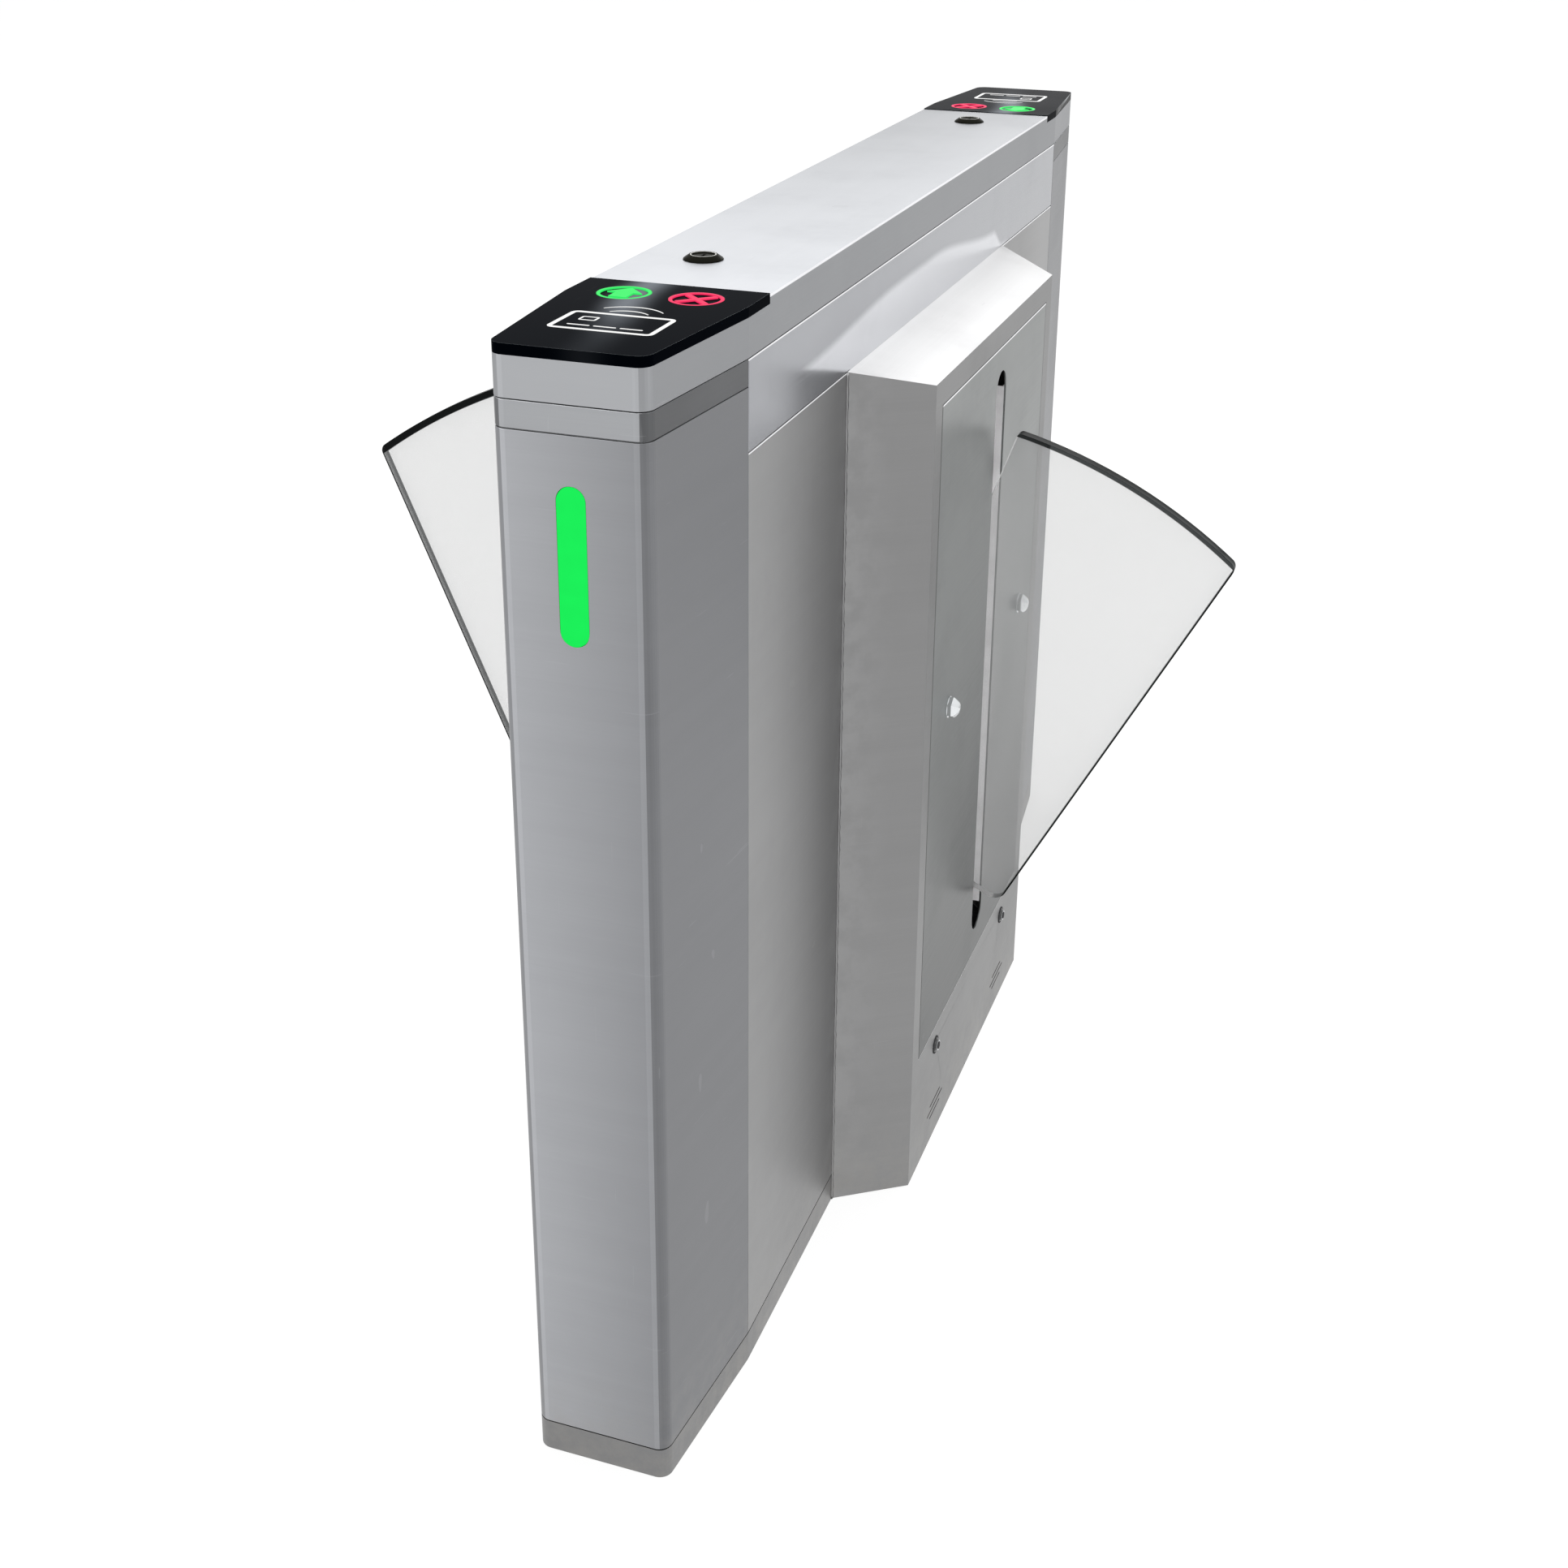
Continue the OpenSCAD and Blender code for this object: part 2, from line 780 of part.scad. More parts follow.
module bearing(y) {
    race = (bearing_d - shaft_d) / 8;
    groove_y = bearing_w / 8;
    difference() {
        rod_y(pivot_x, pivot_z, bearing_d, y, y + bearing_w);
        rod_y(pivot_x, pivot_z, shaft_d + 2 * run, y - over, y + bearing_w + over);
        for (face = [y - over, y + bearing_w - groove_y])
            difference() {
                rod_y(pivot_x, pivot_z, bearing_d - 2 * race, face, face + groove_y + over);
                rod_y(pivot_x, pivot_z, shaft_d + 2 * run + 2 * race, face - over, face + groove_y + 2 * over);
            }
    }
}
module shaft_bearings() color("#c9ccd0") both_ends() {
    bearing(first_plate_y);
    bearing(second_plate_y);
}

module gear_motor() {
    front = second_plate_y + bearing_w;
    back = front + gearbox_l;
    side = gearbox_w / 2;
    difference() {
        union() {
            upright([for (p = rounded(
                [[-side, -side], [side, -side], [side, side], [-side, side]],
                [gearbox_r, gearbox_r, gearbox_r, gearbox_r])) p + [motor_x, motor_z]], front, back);
            rod_y(motor_x, motor_z, motor_d, back, back + motor_l);
            rod_y(motor_x, motor_z, motor_d - 2 * motor_cap_step, back + motor_l, back + motor_l + motor_cap_l);
            block([motor_x - terminal_w / 2, back + motor_cap_l, motor_z],
                [motor_x + terminal_w / 2, back + motor_cap_l + terminal_l, motor_z + motor_d / 2 + terminal_h]);
        }
        rod_y(motor_x, motor_z, crank_shaft_d + 2 * run, front - over, front + crank_shaft_in + over);
    }
}
module right_gear_motor() color("#3c4046") gear_motor();
module left_gear_motor() color("#3c4046") opposite() gear_motor();

// A rubber buffer beside the lever at one end of its swing
module buffer(angle, side) {
    away = (lever_w + buffer_d) / 2 + play;
    x = pivot_x + buffer_reach * cos(angle) - side * away * sin(angle);
    z = pivot_z + buffer_reach * sin(angle) + side * away * cos(angle);
    rod_y(x, z, buffer_d, lever_y, second_plate_y);
}
module stop_buffers() color("#202022") {
    buffer(lever_rest, -1);
    buffer(lever_rest + right_swing, 1);
    opposite() {
        buffer(lever_rest, -1);
        buffer(lever_rest + left_swing, 1);
    }
}

// A slotted light sensor on the back of the first plate, with its slot around the flag of the shaft
module position_sensors() color("#2a2c30") both_ends() {
    y = first_plate_y + bearing_w;
    low = pivot_z + sensor_low;
    difference() {
        block([pivot_x - sensor_w / 2, y, low], [pivot_x + sensor_w / 2, y + sensor_t, low + sensor_h]);
        block([pivot_x - sensor_w, y + (sensor_t - sensor_slot) / 2, low - over],
            [pivot_x + sensor_w, y + (sensor_t + sensor_slot) / 2, low + sensor_h - sensor_roof]);
    }
}

// Flap outlines in the plane of the flap, outward and upward from the shaft

function arc_middle(a, b, r) =
    let (
        half = (b - a) / 2,
        deep = sqrt(r * r - half * half),
        n = unit([-half.y, half.x])
    ) a + half + n * deep * (n.y > 0 ? -1 : 1);

// The round outer edge from the top corner to the tip
function outer_edge(top, tip, r) =
    let (
        c = arc_middle(top, tip, r),
        from = atan2(top.y - c.y, top.x - c.x),
        to = atan2(tip.y - c.y, tip.x - c.x)
    ) [for (i = [1:arc_steps - 1]) on_arc(c, r, from + (to - from) * i / arc_steps)];

// Points and corner radii of a flap; points on the round edge have no fillet
function flap_outline(top, tip, r, lower, lower_r, heel) =
    let (
        edge = outer_edge(top, tip, r),
        points = concat([top], edge, [tip], lower, [heel, [heel.x, heel_top]]),
        radii = concat([top_r], [for (p = edge) 0], [tip_r], lower_r, [heel_r, heel_r])
    ) rounded(points, radii);

right_flap_points = flap_outline(
    [right_top_out, right_top_up], [right_tip_out, right_tip_up], right_arc_r,
    [[right_foot_out, right_foot_up]], [foot_r], [-right_heel_in, right_heel_foot]);
left_flap_points = flap_outline(
    [left_top_out, left_top_up], [left_tip_out, left_tip_up], left_arc_r,
    [[left_elbow_out, left_elbow_up], [left_foot_out, left_foot_up]], [elbow_r, foot_r],
    [-left_heel_in, left_heel_foot]);

module at_pivot(points, low_y, high_y) {
    upright([for (p = points) p + [pivot_x, pivot_z]], low_y, high_y);
}

// Places of the clamp bolts, outward and upward from the shaft
clamp_bolts = [for (row = [0:clamp_rows - 1], side = ends) [side * clamp_col, clamp_row_z + row * clamp_row_pitch]];

module bolt_holes(low_y, high_y) {
    for (p = clamp_bolts)
        rod_y(pivot_x + p.x, pivot_z + p.y, clamp_bolt_d + 2 * play, low_y, high_y);
}

module flap_panel(points) {
    difference() {
        at_pivot(points, flap_y - flap_t / 2, flap_y + flap_t / 2);
        bolt_holes(flap_y - flap_t, flap_y + flap_t);
    }
}
module right_flap_panel() color("#dfe3e3", 0.35) flap_panel(right_flap_points);
module left_flap_panel() color("#dfe3e3", 0.35) opposite() flap_panel(left_flap_points);

arm_half = flap_t / 2 + cheek_t;

module clamp_arm() {
    cheek = [[-hub_d / 2, 0], [hub_d / 2, 0], [arm_out, arm_h], [-arm_in, arm_h]];
    difference() {
        union() {
            for (y = [flap_y - arm_half, flap_y + flap_t / 2])
                at_pivot(rounded(cheek, [0, 0, heel_r, heel_r]), y, y + cheek_t);
            at_pivot([[-arm_in, 0], [arm_out, 0], [arm_out, arm_block_h], [-arm_in, arm_block_h]],
                flap_y - flap_t / 2, flap_y + flap_t / 2);
            rod_y(pivot_x, pivot_z, hub_d, flap_y - arm_half, flap_y + arm_half + hub_side);
        }
        rod_y(pivot_x, pivot_z, shaft_d, flap_y - arm_half - over, flap_y + arm_half + hub_side + over);
        bolt_holes(flap_y - arm_half - over, flap_y + arm_half + over);
    }
}
module right_clamp_arm() color("#5d6064") clamp_arm();
module left_clamp_arm() color("#5d6064") opposite() clamp_arm();

module clamp_bolt_set() {
    for (p = clamp_bolts) {
        rod_y(pivot_x + p.x, pivot_z + p.y, clamp_bolt_d, flap_y - arm_half, flap_y + arm_half);
        for (y = [flap_y - arm_half - clamp_head_t, flap_y + arm_half])
            rod_y(pivot_x + p.x, pivot_z + p.y, clamp_head_d, y, y + clamp_head_t);
    }
}
module right_clamp_bolts() color("#caccce") clamp_bolt_set();
module left_clamp_bolts() color("#caccce") opposite() clamp_bolt_set();

// A lever bar from a centre to its pin, with round ends
module lever_bar(x, z, hub) {
    pin_x = x + crank_l * cos(lever_rest);
    pin_z = z + crank_l * sin(lever_rest);
    bar_end = crank_l - link_pin_d / 2 - play;
    rod_y(x, z, hub, lever_y, lever_y + lever_t);
    rod_y(pin_x, pin_z, lever_eye_d, lever_y, lever_y + lever_t);
    translate([x, 0, z]) rotate([0, -lever_rest, 0])
        block([hub * bar_start_share, lever_y, -lever_w / 2], [bar_end, lever_y + lever_t, lever_w / 2]);
    rod_y(pin_x, pin_z, link_pin_d, link_y - link_gap, lever_y + lever_t / 2);
    rod_y(pin_x, pin_z, pin_cap_d, link_y - link_gap - pin_cap_t, link_y - link_gap);
}

link_y = lever_y - link_gap - link_t;

// The shaft, with its lever and the flag that the position sensor reads
module flap_shaft() {
    flag_y = first_plate_y + bearing_w + (sensor_t - flag_t) / 2;
    rod_y(pivot_x, pivot_z, shaft_d, flap_y - arm_half, second_plate_y + bearing_w + shaft_end);
    lever_bar(pivot_x, pivot_z, shaft_d + lever_eye_d);
    rod_y(pivot_x, pivot_z, shaft_d + flag_w, flag_y, flag_y + flag_t);
    block([pivot_x - flag_w / 2, flag_y, pivot_z + shaft_d / 2],
        [pivot_x + flag_w / 2, flag_y + flag_t, pivot_z + flag_up]);
}
module right_flap_shaft() color("#b4b7ba") flap_shaft();
module left_flap_shaft() color("#b4b7ba") opposite() flap_shaft();

module crank() {
    lever_bar(motor_x, motor_z, crank_hub_d);
    rod_y(motor_x, motor_z, crank_shaft_d, lever_y + lever_t / 2, second_plate_y + bearing_w + crank_shaft_in);
}
module right_crank() color("#8e9195") crank();
module left_crank() color("#8e9195") opposite() crank();

// The link that keeps the crank and the lever parallel
module link() {
    pin = [crank_l * cos(lever_rest), crank_l * sin(lever_rest)];
    low = [pivot_x, pivot_z] + pin;
    high = [motor_x, motor_z] + pin;
    along = high - low;
    tilt = atan2(along.y, along.x);
    difference() {
        union() {
            for (p = [low, high])
                rod_y(p.x, p.y, link_eye_d, link_y, link_y + link_t);
            translate([low.x, 0, low.y]) rotate([0, -tilt, 0])
                block([0, link_y, -link_w / 2], [norm(along), link_y + link_t, link_w / 2]);
        }
        rod_y(low.x, low.y, link_pin_d + 2 * run, link_y - over, link_y + link_t + over);
        rod_y(high.x, high.y, link_pin_d + 2 * open_pin_gap, link_y - over, link_y + link_t + over);
    }
}
module right_link() color("#a0a3a7") link();
module left_link() color("#a0a3a7") opposite() link();

// Electrics

tray_front = end_post_y - bar_w / 2;
tray_back = mid_post_y + bar_w / 2;

module mounting_plates() color("#b5b8bb") both_ends() {
    block([-tray_t / 2, -tray_front, low_bar_z], [tray_t / 2, -tray_back, high_bar_z + bar_w]);
}

module control_board() color("#1d6b45") {
    low = [-tray_front + pcb_margin, low_bar_z + 2 * bar_w + pcb_h];
    high = [-tray_back - pcb_margin, low_bar_z + 2 * bar_w + 2 * pcb_h];
    board_x = tray_t / 2 + pcb_stand;
    span = high - low;
    block([board_x, low.x, low.y], [board_x + pcb_t, high.x, high.y]);
    for (y = [low.x + pcb_margin, high.x - pcb_margin], z = [low.y + pcb_margin, high.y - pcb_margin])
        rod_x(y, z, pcb_stand, tray_t / 2, board_x);
    for (i = [0:3])
        block([board_x + pcb_t, low.x + span.x * (i + 1) / 6, low.y + pcb_margin],
            [board_x + pcb_t + relay_t, low.x + span.x * (i + 1) / 6 + relay_t, low.y + pcb_margin + 2 * relay_t]);
    block([board_x + pcb_t, low.x + span.x / 3, low.y + span.y / 2],
        [board_x + pcb_t + chip_t, low.x + span.x / 2, low.y + span.y / 2 + span.x / 6]);
    block([board_x + pcb_t, low.x + span.x / 6, high.y - pcb_margin - relay_t],
        [board_x + pcb_t + relay_t, high.x - span.x / 6, high.y - pcb_margin]);
}

module power_supply() color("#c2c5c7") {
    low_z = low_bar_z + 2 * bar_w;
    difference() {
        block([tray_t / 2, -tray_front + pcb_margin, low_z],
            [tray_t / 2 + supply_w, -tray_back - pcb_margin, low_z + supply_h]);
        block([tray_t / 2 + supply_w / 2, -tray_front, low_z + supply_h - relay_t],
            [tray_t / 2 + supply_w + over, -tray_back, low_z + supply_h + over]);
    }
}

module backup_battery() color("#2c2e33") opposite() {
    low_z = low_bar_z + 2 * bar_w;
    block([tray_t / 2, -tray_front + pcb_margin, low_z],
        [tray_t / 2 + battery_w, -tray_back - pcb_margin, low_z + battery_h]);
    for (y = [-tray_front + 3 * pcb_margin, -tray_back - 3 * pcb_margin])
        block([tray_t / 2 + pcb_margin, y - chip_t, low_z + battery_h],
            [tray_t / 2 + pcb_margin + chip_t, y + chip_t, low_z + battery_h + 2 * chip_t]);
}

// Lid

// The lid is a skirt with a top; its ends step down to seat the reader panels
module lid_cover() color("#e4e6e7") {
    step_y = half_l - panel_l;
    difference() {
        union() {
            difference() {
                slab(0, lid_z, cabinet_h);
                slab(sheet, lid_z - over, cabinet_h - sheet);
            }
            both_ends() front_end(step_y - sheet) slab(sheet / 2, panel_z - sheet, cabinet_h - sheet / 2);
        }
        both_ends() front_end(step_y) slab(-over, panel_z, cabinet_h + over);
        both_ends() {
            block([-reader_w / 2, -reader_y - reader_l / 2, panel_z - sheet - over],
                [reader_w / 2, -reader_y + reader_l / 2, panel_z + over]);
            for (side = ends)
                translate([side * symbol_x, -symbol_y, panel_z - sheet - over])
                    cylinder(d = symbol_d, h = sheet + 2 * over);
        }
        for (p = lock_places)
            translate([p.x, p.y, cabinet_h - sheet - over])
                cylinder(d = lock_barrel_d + 2 * play, h = sheet + 2 * over);
    }
    for (side = ends)
        lid_rib(side * rest_y);
}

// A channel across the lid, which rests on the inner frame
module lid_rib(y) {
    low = rest_z + play;
    reach = half_w - sheet - lid_fit;
    difference() {
        block([-reach, y - rib_w / 2, low], [reach, y + rib_w / 2, cabinet_h - sheet / 2]);
        block([-reach - over, y - rib_w / 2 + sheet, low + sheet],
            [reach + over, y + rib_w / 2 - sheet, cabinet_h - sheet]);
    }
}

lock_places = [[lock_front_x, -lock_front_y], [0, lock_rear_y]];

module reader_panel() {
    difference() {
        front_end(half_l - panel_l + play) slab(0, panel_z, panel_top);
        for (side = ends)
            translate([side * symbol_x, -symbol_y, panel_top - symbol_t])
                cylinder(d = symbol_d + 2 * play, h = symbol_t + over);
    }
}
module front_reader_panel() color("#0c0c0e") reader_panel();
module rear_reader_panel() color("#0c0c0e") opposite() reader_panel();

// The card reader, hung in its opening, with the board that lights the symbols
module reader_module() {
    reach = reader_w / 2 - opening_gap;
    block([-reach, -reader_y - reader_l / 2 + opening_gap, panel_z - reader_t],
        [reach, -reader_y + reader_l / 2 - opening_gap, panel_z]);
    block([-reach, -reader_y, panel_z - reader_t],
        [reach, -symbol_y + symbol_d / 2, panel_z - reader_t + module_board_t]);
    for (side = ends)
        translate([side * symbol_x, -symbol_y, panel_z - reader_t])
            cylinder(d = symbol_d - 2 * opening_gap, h = reader_t);
}
module front_reader_module() color("#26282c") reader_module();
module rear_reader_module() color("#26282c") opposite() reader_module();

// The ring of a symbol, seated in its pocket in the panel
module symbol_at(side) {
    both_ends() translate([side * symbol_x, -symbol_y, panel_top - symbol_t]) {
        difference() {
            cylinder(d = symbol_d, h = symbol_t);
            translate([0, 0, -over]) cylinder(d = symbol_d - 2 * ring_w, h = symbol_t + 2 * over);
        }
        linear_extrude(symbol_t) children();
    }
}

// Shares of the ring's radius for the arrow's outline
arrow_shares = [[0, 0.78], [0.7, 0], [0.37, 0], [0.37, -0.62], [-0.37, -0.62], [-0.37, 0], [-0.7, 0]];
cross_share = 1.7;

module go_symbols() color("#1ef060") symbol_at(-1)
    polygon([for (p = arrow_shares) p * symbol_d / 2]);

module stop_symbols() color("#ff2d62") symbol_at(1)
    for (a = [quarter / 2, -quarter / 2])
        rotate(a) square([symbol_d / 2 * cross_share, bar_stroke], center = true);

// The fixed part of each lid lock: a low cone for a head, a barrel through the lid and its nut
module lock_bodies() color("#17181a") {
    for (p = lock_places) translate([p.x, p.y, 0]) difference() {
        union() {
            translate([0, 0, cabinet_h]) cylinder(d = lock_d, h = lock_rim_h);
            translate([0, 0, cabinet_h + lock_rim_h])
                cylinder(d1 = lock_d, d2 = lock_barrel_d + 2 * lock_face_rim, h = lock_h - lock_rim_h);
            translate([0, 0, cabinet_h - lock_barrel_l]) cylinder(d = lock_barrel_d, h = lock_barrel_l);
            translate([0, 0, cabinet_h - sheet - lock_nut_t]) cylinder(d = lock_nut_d, h = lock_nut_t);
        }
        translate([0, 0, cabinet_h - lock_barrel_l - over])
            cylinder(d = plug_d + 2 * run, h = lock_barrel_l + lock_h + 2 * over);
        translate([0, 0, cabinet_h + lock_h - plug_dish])
            cylinder(d = lock_barrel_d, h = plug_dish + over);
    }
}

// The turning plug of a lock, with its key slot and its cam; at rest the cam points along the lid
module lock_plug(place) {
    low = cabinet_h - lock_barrel_l - play;
    translate([place.x, place.y, 0]) difference() {
        union() {
            translate([0, 0, low - cam_t]) cylinder(d = plug_d, h = lock_barrel_l + lock_h + cam_t + play - plug_dish);
            block([-cam_w / 2, -cam_w / 2, low - cam_t], [cam_w / 2, cam_l, low]);
        }
        block([-key_w / 2, -key_l / 2, cabinet_h + lock_h - plug_dish - key_deep],
            [key_w / 2, key_l / 2, cabinet_h + lock_h + over]);
    }
}
module front_lock_plug() color("#caccce") lock_plug(lock_places[0]);
module rear_lock_plug() color("#caccce") lock_plug(lock_places[1]);

// Brackets on the frame that the cams turn under
module lock_strikes() color("#8a8d91") {
    cam_top = cabinet_h - lock_barrel_l - play;
    for (p = lock_places) {
        wall = -half_w + sheet + frame_t;
        lip_end = p.x - cam_l + strike_lip;
        block([wall, p.y - strike_w / 2, neck_z],
            [wall + strike_t, p.y + strike_w / 2, cam_top + play + strike_t]);
        block([wall, p.y - strike_w / 2, cam_top + play], [lip_end, p.y + strike_w / 2, cam_top + play + strike_t]);
    }
}

plinth_frame();
cable_grommets();
inner_frame();
front_pillar();
rear_pillar();
front_neck_band();
rear_neck_band();
right_upper_rail();
left_upper_rail();
front_right_side_panel();
front_left_side_panel();
rear_right_side_panel();
rear_left_side_panel();
right_flap_housing();
left_flap_housing();
right_slot_plate();
left_slot_plate();
slot_guides();
waist_cap_nuts();
ankle_screws();
front_status_lens();
rear_status_lens();
status_light_boards();
mechanism_base();
right_bearing_stand();
left_bearing_stand();
shaft_bearings();
right_gear_motor();
left_gear_motor();
stop_buffers();
position_sensors();
mounting_plates();
control_board();
power_supply();
backup_battery();
lock_strikes();
lid_cover();
front_reader_panel();
rear_reader_panel();
front_reader_module();
rear_reader_module();
go_symbols();
stop_symbols();
lock_bodies();
front_lock_plug();
rear_lock_plug();
right_flap_panel();
left_flap_panel();
right_clamp_arm();
left_clamp_arm();
right_clamp_bolts();
left_clamp_bolts();
right_flap_shaft();
left_flap_shaft();
right_crank();
left_crank();
right_link();
left_link();
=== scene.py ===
"""Looks of the flap barrier turnstile: finishes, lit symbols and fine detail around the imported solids.

Everything is in metres in the part's own frame: X across the lanes, Y along the cabinet, Z up.
"""

import logging
import math
from dataclasses import dataclass, field
from enum import Enum
from typing import Callable, Iterable, Sequence

import bpy
from mathutils import Matrix, Vector


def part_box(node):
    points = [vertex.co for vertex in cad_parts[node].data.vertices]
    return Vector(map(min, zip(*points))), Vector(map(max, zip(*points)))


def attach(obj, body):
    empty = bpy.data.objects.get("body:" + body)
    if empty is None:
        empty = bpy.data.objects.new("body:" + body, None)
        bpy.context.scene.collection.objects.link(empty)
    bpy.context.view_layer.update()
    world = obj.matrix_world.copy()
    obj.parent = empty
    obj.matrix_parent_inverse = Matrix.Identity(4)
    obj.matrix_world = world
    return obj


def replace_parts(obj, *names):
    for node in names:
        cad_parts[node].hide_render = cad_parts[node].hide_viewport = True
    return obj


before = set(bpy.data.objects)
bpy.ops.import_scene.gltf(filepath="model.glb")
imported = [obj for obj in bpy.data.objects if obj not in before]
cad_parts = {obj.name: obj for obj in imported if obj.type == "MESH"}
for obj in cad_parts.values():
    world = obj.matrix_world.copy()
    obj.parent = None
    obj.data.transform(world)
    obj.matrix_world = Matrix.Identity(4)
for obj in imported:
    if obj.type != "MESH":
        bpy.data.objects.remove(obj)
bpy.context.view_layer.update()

MM = 0.001
Colour = tuple[float, float, float]
Point = tuple[float, float, float]
Span = tuple[float, float]
Spans = tuple[Span, ...]
Outline = Sequence[Sequence[float]]
Socket = bpy.types.NodeSocket
Feed = Socket | float | Sequence[float]
Feeds = dict[str | int, Feed]
Sockets = tuple[Socket, ...]
Layer = tuple[Socket, Sequence[float]]
log = logging.getLogger("flap_barrier")


class End(Enum):
    """The two ends of the cabinet; the rear one is the front one turned half round."""

    FRONT = 1
    REAR = -1


class Side(Enum):
    """The two sides of the cabinet; the left one is the right one turned half round."""

    RIGHT = 1
    LEFT = -1


# Shader nodes


@dataclass
class Tree:
    """Adds nodes to one shader tree and joins them."""

    tree: bpy.types.NodeTree
    gap: float = 200.0
    parted: dict[str, list[Socket]] = field(default_factory=dict)

    def add(self, kind: str, inputs: Feeds | None = None, **settings: object) -> bpy.types.Node:
        """Adds one node, sets it and joins it.

        Args:
            kind: the node's type name without its ShaderNode start.
            inputs: socket name or number to the value, or the output socket, that feeds it.
            settings: the node's own settings.

        Returns:
            The new node.
        """
        node = self.tree.nodes.new("ShaderNode" + kind)
        node.location = (self.gap * len(self.tree.nodes), 0)
        for name, value in settings.items():
            setattr(node, name, value)
        for name, value in (inputs or {}).items():
            if isinstance(value, Socket):
                self.tree.links.new(value, node.inputs[name])
            else:
                node.inputs[name].default_value = value
        return node

    def place(self) -> Socket:
        """Returns the place in the part's frame."""
        return self.add("TexCoord").outputs["Object"]

    def axes(self, kind: str = "Object") -> list[Socket]:
        """Parts the place, or the way that the face looks, into its coordinates, once in each tree.

        Args:
            kind: Object for the place, or Normal for the way that the face looks.

        Returns:
            Its x, y and z.
        """
        if kind not in self.parted:
            self.parted[kind] = list(self.add("SeparateXYZ", {0: self.add("TexCoord").outputs[kind]}).outputs)
        return self.parted[kind]

    def calc(self, operation: str, first: Feed, second: Feed = 0.0, clamp: bool = False) -> Socket:
        """Works out a number from one or two others, kept between 0 and 1 where clamp says so."""
        return self.add("Math", {0: first, 1: second}, operation=operation, use_clamp=clamp).outputs[0]

    def plus(self, first: Feed, second: Feed) -> Socket:
        """Adds two numbers."""
        return self.calc("ADD", first, second)

    def minus(self, first: Feed, second: Feed) -> Socket:
        """Takes the second number from the first."""
        return self.calc("SUBTRACT", first, second)

    def times(self, first: Feed, second: Feed) -> Socket:
        """Multiplies two numbers."""
        return self.calc("MULTIPLY", first, second)

    def raised(self, value: Feed, mask: Feed, by: Feed) -> Socket:
        """Adds a share of a mask to a value."""
        return self.plus(value, self.times(mask, by))

    def size(self, value: Socket) -> Socket:
        """Returns a number without its sign."""
        return self.calc("ABSOLUTE", value)

    def near(self, distance: Socket, reach: Socket) -> Socket:
        """Returns 1 where the distance is 0, less further out, and 0 from the reach on."""
        return self.calc("SUBTRACT", 1.0, self.calc("DIVIDE", distance, reach), clamp=True)

    def spread(self, value: Feed, span: Span, low: float = 0.0, high: float = 1.0) -> Socket:
        """Maps a span smoothly onto the one from low to high, and stops at its ends."""
        inputs = {"Value": value, "From Min": span[0], "From Max": span[1], "To Min": low, "To Max": high}
        return self.add("MapRange", inputs, interpolation_type="SMOOTHSTEP").outputs["Result"]

    def noise(self, place: Socket, scale: Feed, octaves: float = 2.0, roughness: float = 0.5) -> Socket:
        """Reads soft noise from 0 to 1 at a place, with the scale as its frequency."""
        inputs = {"Vector": place, "Scale": scale, "Detail": octaves, "Roughness": roughness}
        return self.add("TexNoise", inputs).outputs[0]

    def mix(self, share: Feed, first: Feed, second: Feed, blend: str = "MIX") -> Socket:
        """Mixes two colours by the share of the second."""
        return self.add("Mix", {0: share, 6: first, 7: second}, data_type="RGBA", blend_type=blend).outputs[2]

    def tint(self, colour: Feed, tone: Socket) -> Socket:
        """Makes a colour lighter or darker by a tone."""
        grey = self.add("CombineColor", {0: tone, 1: tone, 2: tone}).outputs[0]
        return self.mix(1.0, colour, grey, "MULTIPLY")

    def bump(self, height: Socket, strength: float, metres: float = 0.0002) -> Socket:
        """Returns the normal of a surface that a height from 0 to 1 raises by some metres."""
        return self.add("Bump", {"Strength": strength, "Distance": metres, "Height": height}).outputs[0]


def bare_tree(owner: bpy.types.Material | bpy.types.World) -> Tree:
    """Clears the node tree of a material or a world.

    Args:
        owner: the material or the world.

    Returns:
        Its tree.
    """
    owner.use_nodes = True
    owner.node_tree.nodes.clear()
    return Tree(owner.node_tree)


@dataclass(frozen=True)
class Effect:
    """A shader node group that is built once and placed in each material with its own values."""

    name: str
    inputs: dict[str, float]
    outputs: tuple[str, ...]
    draw: Callable[..., Sockets]

    def group(self) -> bpy.types.NodeTree:
        """Builds the group, or finds it.

        Returns:
            The node group.
        """
        made = bpy.data.node_groups.get(self.name)
        if made:
            return made
        made = bpy.data.node_groups.new(self.name, "ShaderNodeTree")
        for label, value in self.inputs.items():
            socket = made.interface.new_socket(name=label, in_out="INPUT", socket_type="NodeSocketFloat")
            socket.default_value = value
        for label in self.outputs:
            made.interface.new_socket(name=label, in_out="OUTPUT", socket_type="NodeSocketFloat")
        given = made.nodes.new("NodeGroupInput").outputs
        drawn = self.draw(Tree(made), *(given[label] for label in self.inputs))
        leave = made.nodes.new("NodeGroupOutput")
        for label, socket in zip(self.outputs, drawn):
            made.links.new(socket, leave.inputs[label])
        return made

    def put(self, tree: Tree, **values: float) -> bpy.types.bpy_prop_collection:
        """Puts the group into a material, with _ for a space in its inputs' names, and returns its outputs."""
        inputs = {name.replace("_", " "): value for name, value in values.items()}
        return tree.add("Group", inputs, node_tree=self.group()).outputs


# From here up a face counts as level, by its normal's z
LEVEL_FROM = 0.7
# How much coarser the bands of a brushed sheet are than its lines
BAND_SHARE = 0.07
# The turn of each set of scratches and its frequency along each axis
SCRATCH_WAYS = ((0.35, (16.0, 16.0, 420.0)), (-0.5, (520.0, 24.0, 22.0)))


